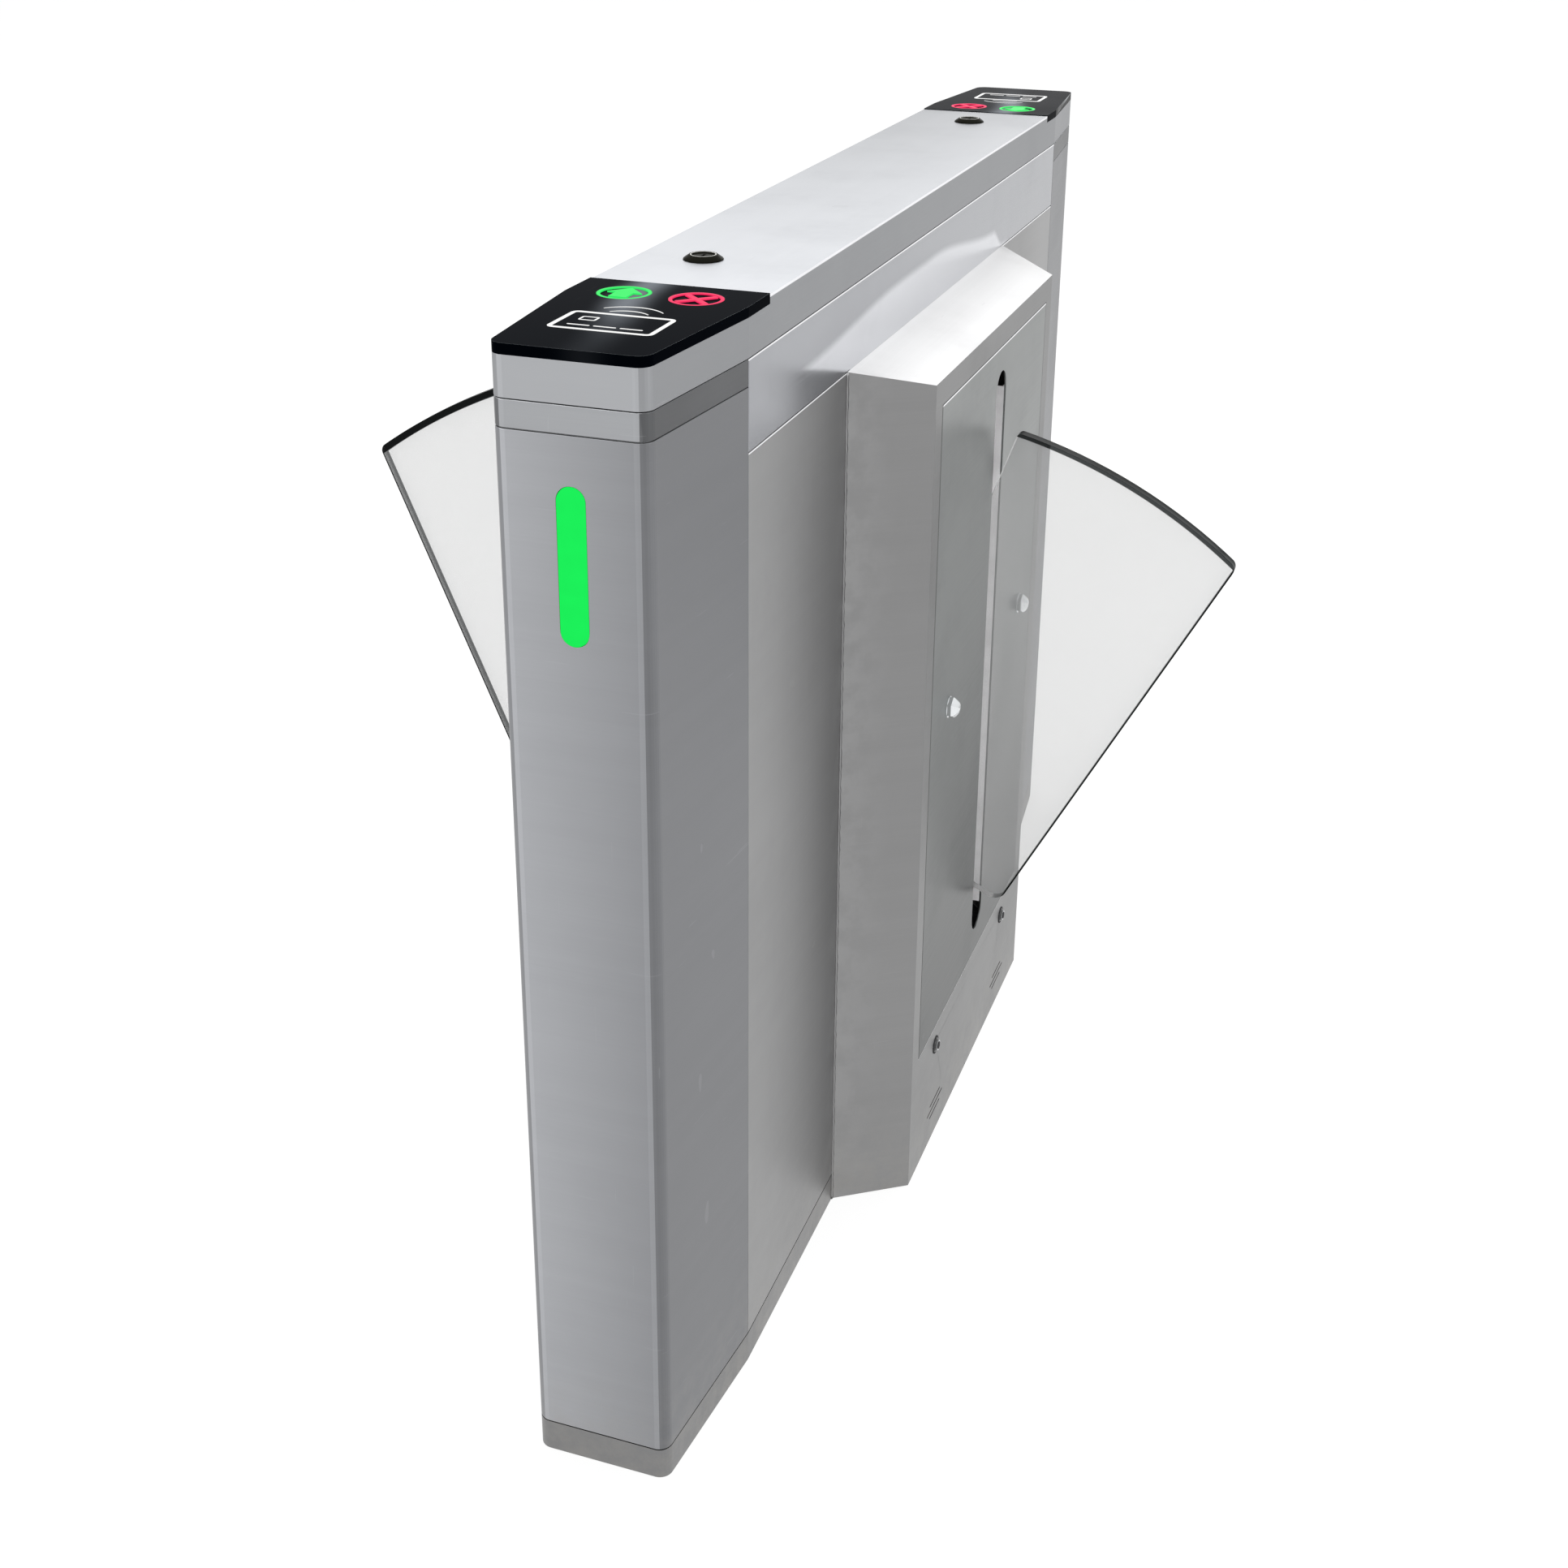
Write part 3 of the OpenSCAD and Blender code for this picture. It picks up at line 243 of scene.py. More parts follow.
def draw_brushing(tree: Tree, pitch: Socket, stretch: Socket) -> Sockets:
    """Draws the lines of a brushed sheet, level on upright faces and lengthwise on level ones.

    Args:
        tree: the group's tree.
        pitch: the frequency across the lines.
        stretch: the frequency along them.

    Returns:
        The fine lines and the broad bands.
    """
    x, y, z = tree.axes()
    level = tree.calc("GREATER_THAN", tree.size(tree.axes("Normal")[2]), LEVEL_FROM)
    along = tree.add("Mix", {0: level, 2: tree.plus(x, y), 3: y}).outputs[0]
    across = tree.add("Mix", {0: level, 2: z, 3: x}).outputs[0]
    drawn = []
    for share in (1.0, BAND_SHARE):
        lengthwise, crosswise = tree.times(stretch, share), tree.times(pitch, share)
        spot = tree.add("CombineXYZ", {0: tree.times(along, lengthwise), 1: tree.times(across, crosswise)})
        drawn.append(tree.noise(spot.outputs[0], 1.0, octaves=3.0, roughness=0.6))
    return tuple(drawn)


def draw_smudges(tree: Tree, per_metre: Socket) -> Sockets:
    """Draws soft uneven patches, such as cleaning marks and hand grease.

    Args:
        tree: the group's tree.
        per_metre: how many patches fit in a metre.

    Returns:
        The mask.
    """
    place = tree.place()
    coarse = tree.spread(tree.noise(place, per_metre, octaves=4.0), (0.42, 0.66))
    fine = tree.spread(tree.noise(place, 60.0, octaves=3.0), (0.2, 0.7), low=0.55)
    return (tree.times(coarse, fine),)


def draw_floor_dust(tree: Tree, reach: Socket) -> Sockets:
    """Draws dust that thins out upward from the floor.

    Args:
        tree: the group's tree.
        reach: how high the dust reaches.

    Returns:
        The mask.
    """
    share = tree.near(tree.axes()[2], reach)
    speckle = tree.spread(tree.noise(tree.place(), 45.0, octaves=5.0, roughness=0.65), (0.3, 0.75))
    return (tree.times(tree.calc("POWER", share, 1.8), speckle),)


def draw_scratches(tree: Tree, clean: Socket) -> Sockets:
    """Draws sparse fine scratches, as the crests of noise that is stretched two ways at a slight slant.

    Args:
        tree: the group's tree.
        clean: how much of the surface stays clean.

    Returns:
        The mask.
    """
    found = []
    for turn, stretch in SCRATCH_WAYS:
        moved = tree.add("Mapping", {"Vector": tree.place(), "Rotation": (turn, turn / 2, turn), "Scale": stretch})
        found.append(tree.calc("GREATER_THAN", tree.noise(moved.outputs[0], 1.0, octaves=1.0), clean))
    return (tree.calc("MAXIMUM", *found),)


def draw_weld_stain(tree: Tree, joint: Socket, width: Socket) -> Sockets:
    """Draws the stain that a weld leaves beside the upright joint of a housing and the cabinet.

    Args:
        tree: the group's tree.
        joint: the joint's distance from the middle.
        width: how far the stain reaches on both sides of it.

    Returns:
        The mask.
    """
    away = tree.size(tree.minus(tree.size(tree.axes()[1]), joint))
    ragged = tree.spread(tree.noise(tree.place(), 38.0, octaves=4.0, roughness=0.6), (0.35, 0.65))
    return (tree.times(tree.near(away, width), ragged),)


def draw_grain(tree: Tree, per_metre: Socket) -> Sockets:
    """Draws the skin of moulded or painted surfaces: its height, and soft patches."""
    place = tree.place()
    return tree.noise(place, per_metre), tree.spread(tree.noise(place, 14.0, octaves=3.0), (0.3, 0.7))


BRUSHING = Effect("brushing", {"Pitch": 700.0, "Stretch": 5.0}, ("Lines", "Bands"), draw_brushing)
SMUDGES = Effect("smudges", {"Per Metre": 9.0}, ("Mask",), draw_smudges)
FLOOR_DUST = Effect("floor_dust", {"Reach": 0.12}, ("Mask",), draw_floor_dust)
SCRATCHES = Effect("scratches", {"Clean": 0.7}, ("Mask",), draw_scratches)
WELD_STAIN = Effect("weld_stain", {"Joint": 0.286, "Width": 0.02}, ("Mask",), draw_weld_stain)
GRAIN = Effect("grain", {"Per Metre": 900.0}, ("Height", "Patches"), draw_grain)


# Finishes


def rgba(colour: Iterable[float]) -> tuple[float, ...]:
    """Returns the colour with a full alpha."""
    return (*colour, 1.0)


DUST = rgba((0.42, 0.40, 0.37))
# Painted highlight along the top edge of a sheet
PAINTED_EDGE_HIGHLIGHT = rgba((0.92, 0.92, 0.94))
# Painted reflection of the housing's bright top
MIRRORED_TOP = rgba((0.79, 0.80, 0.835))
# Painted shade inside the vents' slits
PAINTED_VENT_SHADE = rgba((0.004, 0.004, 0.004))

# How far a face has turned sideways, by the size of its normal's x, from not yet to fully
STREAK_IN, STREAK_OUT, TO_SIDE, TO_FACE = (0.04, 0.12), (0.24, 0.34), (0.26, 0.50), (0.75, 0.95)
# How far it has turned from down to up, by its normal's z
FROM_UNDER, TO_SLOPE, TO_BEVEL = (-0.75, -0.35), (0.2, 0.45), (0.25, 0.5)
TO_TOP, TO_LEVEL, TO_FLAT = (0.35, 0.75), (0.7, 0.95), (0.85, 0.97)


@dataclass(frozen=True)
class Finish:
    """What every finish has: a name and a colour."""

    name: str
    colour: Colour

    def shade(self, share: float = 1.0) -> tuple[float, ...]:
        """Returns the colour made lighter or darker by the share."""
        return rgba(min(1.0, part * share) for part in self.colour)

    def material(self) -> bpy.types.Material:
        """Builds the finish's material, or finds it.

        Returns:
            The material.
        """
        made = bpy.data.materials.get("look_" + self.name)
        if made:
            return made
        made = bpy.data.materials.new("look_" + self.name)
        made.diffuse_color = rgba(self.colour)
        tree = bare_tree(made)
        shader = tree.add("BsdfPrincipled", self.look(tree))
        tree.add("OutputMaterial", {"Surface": shader.outputs[0]})
        return made

    def look(self, tree: Tree) -> Feeds:
        """Says what feeds each socket of the material's shader."""
        raise NotImplementedError


@dataclass(frozen=True)
class BrushedSteel(Finish):
    """Brushed stainless sheet with its lines, handling marks and, near the floor, dust.

    Its shares, end and height tones, streak, fade and rearward tone are painted light and shade on the faces that look
    one way or lie in one place, as bright and dark walls give in a mirror. A layer has how strong it is, and how light
    beside the steel.
    """

    roughness: float = 0.34
    lines: float = 0.04
    bands: float = 0.012
    dust: float = 0.0
    stain: float = 0.0
    # Painted light and shade, down to the rearward tone: how much lighter or darker faces become by where they look and
    # where they are.
    side_share: float = 1.0
    top_share: float = 1.0
    face_share: float = 1.0
    under_share: float = 0.35
    foot_share: float = 1.0
    foot_span: Span = (0.12, 0.45)
    end_span: Span = (0.36, 0.52)
    ends: Span = (1.0, 1.0)
    height_span: Span = (0.55, 0.80)
    heights: Span = (1.0, 1.0)
    streak: float = 1.0
    fade: float = 0.0
    rearward: float = 0.0
    top_matt: float = 0.0
    relief: float = 0.10
    cut_layer: Span = (0.14, 1.3)
    smudge_layer: Span = (0.10, 0.82)
    stain_tone: float = 1.45
    # Painted shade: level faces below this height, inside the vents' slits, are made black.
    vent_shade_top: float = 0.0
    border: float = 0.0
    border_line: Span = (2.4 * MM, 1.6 * MM)
    border_layer: Span = (0.7, 0.3)
    # Painted reflection of the housing's top on the rail: its foot, its top and the reach of its corner.
    glare: Point = (0.0, 0.0, 0.0)
    glare_share: float = 0.9
    glare_slant: float = 3.8
    glare_drops: tuple[tuple[Span, float, float], ...] = (
        ((0.0, 0.25), 0.0, 23 * MM), ((0.24, 0.286), 0.0, 21 * MM), ((-0.41, -0.13), 13.5 * MM, 0.0)
    )
    # Painted highlight: the height from which a bright band runs along a sheet's top edge, and the top of that band.
    edge_highlight: Span = (0.0, 0.0)

    def tones(self, tree: Tree) -> list[Socket]:
        """Lists the painted light and shade of the steel, by where a face looks and where it is.

        Args:
            tree: the material's tree.

        Returns:
            The tones, which the colour is multiplied by.
        """
        x, y, z = tree.axes()
        out_x, out_y, up = tree.axes("Normal")
        ramps = [
            (up, FROM_UNDER, self.under_share, 1.0),
            (up, TO_TOP, 1.0, self.top_share),
            (z, self.foot_span, self.foot_share, 1.0),
            (z, self.height_span, *self.heights),
        ]
        if self.ends != (1.0, 1.0):
            ramps.append((tree.size(y), self.end_span, *self.ends))
        if (self.side_share, self.face_share, self.streak) != (1.0, 1.0, 1.0):
            sideways = tree.size(out_x)
            ramps += [
                (sideways, TO_SIDE, 1.0, self.side_share),
                (sideways, TO_FACE, 1.0, self.face_share),
                (sideways, STREAK_IN, 1.0, self.streak),
                (sideways, STREAK_OUT, 1.0, 1 / self.streak),
            ]
        tones = [tree.spread(*ramp) for ramp in ramps if ramp[2:] != (1.0, 1.0)]
        if self.rearward:
            tones.append(tree.raised(1.0, y, by=tree.spread(up, TO_LEVEL, 0.0, self.rearward)))
        if self.fade:
            tones.append(tree.raised(1.0, tree.times(x, out_y), by=self.fade))
        return tones

    def details(self, tree: Tree) -> list[Layer]:
        """Lists what is laid on a sheet in one place: a painted highlight along its top edge, its dark border, a
        painted reflection of the housing's top and painted shade in the vents.

        Args:
            tree: the material's tree.

        Returns:
            The masks, each with the colour that it lays over the steel.
        """
        y, z = tree.axes()[1:]
        up = tree.axes("Normal")[2]
        low, high = self.edge_highlight
        found = []
        # Painted highlight along the sheet's top edge
        if high > low:
            bright = tree.spread(z, (low, low + (high - low) / 4))
            found.append((tree.times(bright, tree.spread(up, TO_FLAT, 1.0, 0.0)), PAINTED_EDGE_HIGHLIGHT))
        if self.border:
            rim = tree.spread(tree.size(y), tuple(self.border - inset for inset in self.border_line))
            found.append(self.layer(tree, rim, self.border_layer))
        # Painted reflection of the housing's top
        if self.glare[1]:
            found.append((tree.times(self.mirrored_top(tree), self.glare_share), MIRRORED_TOP))
        # Painted shade on the level walls inside the vents
        if self.vent_shade_top:
            deep = tree.spread(z, (self.vent_shade_top, self.vent_shade_top + MM), 1.0, 0.0)
            found.append((tree.times(deep, tree.spread(tree.size(up), TO_SLOPE)), PAINTED_VENT_SHADE))
        return found

    def layer(self, tree: Tree, mask: Socket, layer: Span) -> Layer:
        """Returns a mask made as weak as its layer says, with the layer's shade of the steel."""
        return (tree.times(mask, layer[0]), self.shade(layer[1]))

    def mirrored_top(self, tree: Tree) -> Socket:
        """Finds where the bright top of the housing is mirrored above it, with its slanting near edge.

        Args:
            tree: the material's tree.

        Returns:
            The mask.
        """
        foot, top, corner = self.glare
        x, y, z = tree.axes()
        along = tree.times(y, tree.calc("SIGN", x))
        near_edge = tree.raised(along, tree.minus(z, foot), by=self.glare_slant)
        begun = tree.spread(near_edge, (-corner - 4 * MM, -corner + 12 * MM))
        ended = tree.spread(along, (corner, corner + 30 * MM), 0.8, 0.0)
        height = z
        for drop in self.glare_drops:
            height = tree.plus(height, tree.spread(along, *drop))
        under = tree.spread(height, (top - 4 * MM, top + 6 * MM), 1.0, 0.0)
        return tree.times(tree.times(begun, ended), under)

    def look(self, tree: Tree) -> Feeds:
        """Lays brushing, smudges, scratches, dust and weld stains over the steel, and its painted light, shade,
        highlights and reflection.

        Args:
            tree: the material's tree.

        Returns:
            What feeds each socket of the shader.
        """
        lines, bands = BRUSHING.put(tree, Pitch=700.0, Stretch=5.0)
        marks = SMUDGES.put(tree, Per_Metre=7.0)[0]
        cuts = SCRATCHES.put(tree, Clean=0.78)[0]
        colour = tree.mix(lines, self.shade(1 - self.lines), self.shade(1 + self.lines))
        for tone in (tree.spread(bands, (0.3, 0.7), 1 - self.bands, 1 + self.bands), *self.tones(tree)):
            colour = tree.tint(colour, tone)
        layers = self.details(tree)
        layers += [self.layer(tree, cuts, self.cut_layer), self.layer(tree, marks, self.smudge_layer)]
        metal: Feed = 1.0
        if self.stain:
            stain = WELD_STAIN.put(tree, Joint=0.286, Width=0.03)[0]
            layers.append(self.layer(tree, stain, (self.stain, self.stain_tone)))
        if self.dust:
            dust = tree.times(FLOOR_DUST.put(tree, Reach=0.14)[0], self.dust)
            layers.append((dust, DUST))
            metal = tree.minus(1.0, dust)
        if self.top_matt:
            metal = tree.times(metal, tree.spread(tree.axes("Normal")[2], TO_TOP, 1.0, 1 - self.top_matt))
        for mask, tone in layers:
            colour = tree.mix(mask, colour, tone)
        rough = tree.raised(tree.raised(self.roughness, lines, by=0.10), marks, by=0.04)
        return {"Base Color": colour, "Metallic": metal, "Roughness": rough, "Normal": tree.bump(lines, self.relief)}


@dataclass(frozen=True)
class PolishedSteel(Finish):
    """Mirror-like steel with faint marks, and where asked a glow that is painted light."""

    roughness: float = 0.12
    metallic: float = 1.0
    glow: float = 0.0

    def look(self, tree: Tree) -> Feeds:
        """Lays smudges over the polish, and a glow that is painted light where asked.

        Args:
            tree: the material's tree.

        Returns:
            What feeds each socket of the shader.
        """
        marks = SMUDGES.put(tree, Per_Metre=30.0)[0]
        colour = tree.mix(marks, self.shade(), self.shade(0.86))
        feeds = {
            "Base Color": colour,
            "Roughness": tree.raised(self.roughness, marks, by=0.10),
            "Metallic": self.metallic,
            "Normal": tree.bump(GRAIN.put(tree, Per_Metre=260.0)[0], strength=0.05),
        }
        # Painted light: the steel glows in its own colour.
        if self.glow:
            feeds |= {"Emission Color": colour, "Emission Strength": self.glow}
        return feeds


@dataclass(frozen=True)
class SatinPaint(Finish):
    """Powder coat over steel, with a fine orange-peel skin and a little dust."""

    roughness: float = 0.42
    metallic: float = 0.0

    def look(self, tree: Tree) -> Feeds:
        """Draws the paint's skin and patches.

        Args:
            tree: the material's tree.

        Returns:
            What feeds each socket of the shader.
        """
        height, patches = GRAIN.put(tree, Per_Metre=700.0)
        marks = SMUDGES.put(tree, Per_Metre=16.0)[0]
        colour = tree.mix(patches, self.shade(0.92), self.shade(1.08))
        return {
            "Base Color": tree.mix(tree.times(marks, 0.18), colour, DUST),
            "Roughness": tree.raised(self.roughness, marks, by=0.16),
            "Metallic": self.metallic,
            "Normal": tree.bump(height, strength=0.22, metres=0.0003),
        }


@dataclass(frozen=True)
class Moulded(Finish):
    """Moulded plastic or rubber."""

    roughness: float = 0.55
    ior: float = 1.45

    def look(self, tree: Tree) -> Feeds:
        """Draws a moulded skin.

        Args:
            tree: the material's tree.

        Returns:
            What feeds each socket of the shader.
        """
        height, patches = GRAIN.put(tree, Per_Metre=1100.0)
        return {
            "Base Color": tree.mix(patches, self.shade(0.88), self.shade(1.12)),
            "Roughness": tree.raised(self.roughness, patches, by=0.08),
            "IOR": self.ior,
            "Normal": tree.bump(height, strength=0.3),
        }


@dataclass(frozen=True)
class BlackGlass(Finish):
    """The back-painted glossy panel over a reader, with a painted reflection, a soft sheen that slants down it, and a
    painted highlight on its rim.
    """

    roughness: float = 0.07
    # Painted reflection: the sheen's colour, its half width, where it runs and how it fades.
    sheen: Colour = (0.155, 0.170, 0.190)
    sheen_half: float = 34 * MM
    sheen_span: Span = (0.50, 0.70)
    sheen_shift: Span = (-22 * MM, 12 * MM)
    sheen_fade: float = 0.11
    # Painted highlight: the colour of the panel's rounded rim.
    edge: Colour = (0.22, 0.24, 0.25)
    scratch: Colour = (0.2, 0.2, 0.2)
    ior: float = 1.02

    def look(self, tree: Tree) -> Feeds:
        """Draws the painted sheen, the painted highlight on the rim, a clear gloss and a few wipe marks.

        Args:
            tree: the material's tree.

        Returns:
            What feeds each socket of the shader.
        """
        x, y = tree.axes()[:2]
        outward = tree.size(y)
        across = tree.times(x, tree.calc("SIGN", y))
        off = tree.size(tree.plus(across, tree.spread(outward, self.sheen_span, *self.sheen_shift)))
        # Painted reflection: a soft band that slants down the panel and fades towards its outer end.
        middle = tree.calc("POWER", tree.spread(off, (0.0, self.sheen_half), 1.0, 0.0), 2.0)
        fading = tree.calc("POWER", self.sheen_fade, tree.spread(outward, (0.555, 0.70), 0.0, 1.2))
        marks = SMUDGES.put(tree, Per_Metre=12.0)[0]
        cuts = SCRATCHES.put(tree, Clean=0.76)[0]
        up = tree.axes("Normal")[2]
        # Painted highlight on the rim's bevel, between level and upright faces.
        rim = tree.times(tree.spread(up, TO_BEVEL), tree.spread(up, TO_FLAT, 1.0, 0.0))
        colour = tree.mix(tree.times(middle, fading), self.shade(), rgba(self.sheen))
        colour = tree.mix(tree.times(cuts, 0.03), colour, rgba(self.scratch))
        colour = tree.mix(rim, colour, rgba(self.edge))
        return {"Base Color": colour, "Roughness": tree.raised(self.roughness, marks, by=0.10), "IOR": self.ior}


@dataclass(frozen=True)
class Lit(Finish):
    """A lit plastic window, brighter where its lamps are."""

    glow: float = 0.9
    lamp_pitch: float = 0.0
    roughness: float = 0.25
    ior: float = 1.06

    def look(self, tree: Tree) -> Feeds:
        """Draws an even glow and its lamps' spots.

        Args:
            tree: the material's tree.

        Returns:
            What feeds each socket of the shader.
        """
        share = tree.spread(tree.noise(tree.place(), 90.0), (0.2, 0.8), low=0.975)
        if self.lamp_pitch:
            wave = tree.calc("SINE", tree.times(tree.axes()[2], 2 * math.pi / self.lamp_pitch))
            share = tree.times(share, tree.spread(wave, (-1.0, 1.0), low=0.985))
        return {
            "Emission Color": tree.tint(self.shade(), share),
            "Emission Strength": self.glow,
            "Base Color": tree.mix(share, self.shade(0.02), self.shade(0.06)),
            "Roughness": self.roughness,
            "IOR": self.ior,
        }


@dataclass(frozen=True)
class ClearAcrylic(Finish):
    """Clear acrylic sheet with dark edges, a black round edge and a few fine scratches.

    The tip and the foot are the ends of the straight edge that leads, in x and z.
    """

    arc: Span = (0.0, 0.0)
    reach: float = 1.0
    rim: float = 6 * MM
    tip: Span = (0.0, 0.0)
    foot: Span = (0.0, 1.0)
    line: float = 1.8 * MM
    half_t: float = 6 * MM
    middle_y: float = 18 * MM
    edge: Colour = (0.006, 0.007, 0.007)
    core: Colour = (0.02, 0.021, 0.021)
    clear: float = 0.79
    ior: float = 1.12

    def dark_line(self, tree: Tree) -> Socket:
        """Finds the black line along the round edge and the leading one.

        Args:
            tree: the material's tree.

        Returns:
            The mask.
        """
        x, _, z = tree.axes()
        squares = [tree.calc("POWER", tree.minus(part, at), 2.0) for part, at in zip((x, z), self.arc)]
        from_arc = tree.calc("SQRT", tree.plus(*squares))
        start = self.reach - self.rim
        rounded = tree.spread(from_arc, (start, start + 0.6 * MM))
        tip = Vector(self.tip)
        along = (Vector(self.foot) - tip).normalized()
        out = Vector((-along.y, along.x)) * math.copysign(1.0, tip.x)
        start = out.dot(tip) - self.line
        leading = tree.spread(tree.raised(tree.times(x, out.x), z, by=out.y), (start, start + 0.5 * MM))
        return tree.calc("MAXIMUM", rounded, leading)

    def look(self, tree: Tree) -> Feeds:
        """Draws a clear face and a dark edge.

        Args:
            tree: the material's tree.

        Returns:
            What feeds each socket of the shader.
        """
        narrow = tree.spread(tree.size(tree.axes("Normal")[1]), TO_TOP, 1.0, 0.0)
        off = tree.size(tree.minus(tree.size(tree.axes()[1]), self.middle_y))
        border = tree.spread(off, (self.half_t - 2.2 * MM, self.half_t - 1.4 * MM))
        cuts = SCRATCHES.put(tree, Clean=0.78)[0]
        marks = SMUDGES.put(tree, Per_Metre=8.0)[0]
        colour = tree.mix(tree.times(marks, 0.12), self.shade(), self.shade(0.94))
        colour = tree.mix(narrow, colour, tree.mix(border, rgba(self.core), rgba(self.edge)))
        return {
            "Base Color": tree.mix(self.dark_line(tree), colour, rgba(self.edge)),
            "Roughness": tree.raised(tree.times(narrow, 0.35), cuts, by=0.10),
            "Transmission Weight": self.clear,
            "IOR": self.ior,
        }


@dataclass(frozen=True)
class CircuitBoard(Finish):
    """Green solder mask over copper traces."""

    trace: Colour = (0.10, 0.30, 0.12)
    pad: Colour = (0.62, 0.60, 0.52)
    roughness: float = 0.32

    def look(self, tree: Tree) -> Feeds:
        """Draws straight traces and round pads under a glossy mask.

        Args:
            tree: the material's tree.

        Returns:
            What feeds each socket of the shader.
        """
        place = tree.place()
        turned = tree.add("Mapping", {"Vector": place, "Rotation": (0.0, math.pi / 2, 0.0)}).outputs[0]
        traces = tree.add("TexBrick", {"Vector": turned, "Scale": 90.0, "Mortar Size": 0.03}).outputs["Fac"]
        spots = tree.add("TexVoronoi", {"Vector": place, "Scale": 160.0}).outputs["Distance"]
        pads = tree.spread(spots, (0.10, 0.14), 1.0, 0.0)
        return {
            "Base Color": tree.mix(pads, tree.mix(traces, self.shade(), rgba(self.trace)), rgba(self.pad)),
            "Roughness": tree.raised(self.roughness, pads, by=0.1),
            "Normal": tree.bump(traces, strength=0.3),
        }


# The shell, side, rail, neck, housing, slot plate and lid steels are one stainless steel: their different base colours
# are painted light and shade.
SHELL = BrushedSteel("shell_steel", (0.328, 0.334, 0.350), dust=0.3, side_share=0.60, streak=1.14, fade=3.2)
SIDE = BrushedSteel(
    "side_steel", (0.286, 0.286, 0.288), dust=0.3, stain=0.30, top_share=2.6, ends=(0.97, 1.16), heights=(0.90, 1.05),
    edge_highlight=(0.8838, 0.8862),
)
RAIL = BrushedSteel(
    "rail_steel", (0.328, 0.336, 0.358), roughness=0.16, top_share=2.4, relief=0.02, glare=(0.886, 0.9305, 0.286),
    edge_highlight=(0.9586, 0.961),
)
NECK = BrushedSteel("neck_steel", (0.36, 0.368, 0.382), side_share=0.30, top_share=2.0, streak=1.06)
HOUSING = BrushedSteel(
    "housing_steel", (0.244, 0.244, 0.245), dust=0.3, stain=0.30, top_share=3.1, face_share=0.86, foot_share=1.07,
    vent_shade_top=0.06, rearward=-0.4, top_matt=0.8,
)
SLOT_PLATE = BrushedSteel(
    "slot_plate_steel", (0.208, 0.218, 0.216), roughness=0.30, top_share=3.0, foot_share=0.35, foot_span=(0.12, 0.70),
    relief=0.05, border=0.2132, edge_highlight=(0.8405, 0.843),
)
LID = BrushedSteel(
    "lid_steel", (0.392, 0.400, 0.415), roughness=0.40, lines=0.02, bands=0.008, side_share=0.76, top_share=1.65,
    streak=1.08, rearward=-0.56, edge_highlight=(0.9974, 1.0004),
)
PLINTH = BrushedSteel("plinth_steel", (0.215, 0.215, 0.217), dust=0.35)
# The guides' glow is painted light, for the light that the polished strips catch in the slot.
GUIDE = PolishedSteel("guide_steel", (0.92, 0.91, 0.92), roughness=0.45, metallic=0.0, glow=0.18)
CHROME = PolishedSteel("chrome", (0.78, 0.80, 0.81), roughness=0.07)
BEARING = PolishedSteel("bearing_steel", (0.60, 0.61, 0.62), roughness=0.18)
SUPPLY = PolishedSteel("supply_case", (0.52, 0.53, 0.54), roughness=0.34)
DARK_SCREW = PolishedSteel("dark_screw", (0.035, 0.035, 0.037), roughness=0.22, metallic=0.0)
FRAME = SatinPaint("frame_zinc", (0.40, 0.41, 0.42), roughness=0.45, metallic=0.6)
DRIVE = SatinPaint("drive_coat", (0.12, 0.13, 0.14))
MOTOR = SatinPaint("motor_coat", (0.035, 0.04, 0.05), roughness=0.38)
LOCK_BLACK = Moulded("lock_black", (0.010, 0.010, 0.007), roughness=0.22, ior=1.07)
LOCK_RING = Moulded("lock_ring_inlay", (0.62, 0.62, 0.58), roughness=0.35)
# Real rubber, and also the dark hexagons that are painted shade in the screws' sockets
RUBBER_AND_SOCKET_SHADE = Moulded("rubber", (0.02, 0.02, 0.022), roughness=0.75)
PLASTIC = Moulded("black_plastic", (0.03, 0.03, 0.033))
BATTERY = Moulded("battery_case", (0.045, 0.047, 0.055), roughness=0.45)
RED_CAP = Moulded("red_cap", (0.45, 0.02, 0.02), roughness=0.4)
BOARD = CircuitBoard("circuit_board", (0.01, 0.09, 0.035))
PANEL = BlackGlass("reader_panel", (0.001, 0.002, 0.004))
STATUS = Lit("status_green", (0.012, 0.90, 0.105), glow=0.95, lamp_pitch=0.0207)
GO = Lit("go_green", (0.035, 0.88, 0.145), glow=0.95)
STOP = Lit("stop_red", (1.0, 0.035, 0.135), glow=0.92)
WHITE_INLAY = Lit("white_inlay", (0.94, 0.94, 0.93), glow=0.98)
RIGHT_ACRYLIC = ClearAcrylic(
    "right_acrylic", (0.92, 0.922, 0.922), arc=(0.0349, 0.2121), reach=0.558, rim=4.5 * MM, tip=(0.396, 0.6375),
    foot=(0.171, 0.210),
)
# The left flap is one acrylic with the right one: its darker colour is painted shade.
LEFT_ACRYLIC = ClearAcrylic(
    "left_acrylic", (0.88, 0.882, 0.882), arc=(-0.1274, 0.0880), reach=0.722, rim=8 * MM, tip=(-0.554, 0.6705),
    foot=(-0.401, 0.312),
)


# Mesh helpers


def dress(names: Iterable[str], finish: Finish, edge: float = 0.0) -> None:
    """Gives CAD nodes their finish and, where asked, soft edges.

    Args:
        names: the CAD nodes.
        finish: what they are made of.
        edge: the radius of their edges, or 0.
    """
    for name in names:
        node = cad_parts[name]
        node.data.materials.clear()
        node.data.materials.append(finish.material())
        if edge:
            soften(node, edge)
        log.info("dressed %s in %s", name, finish.name)


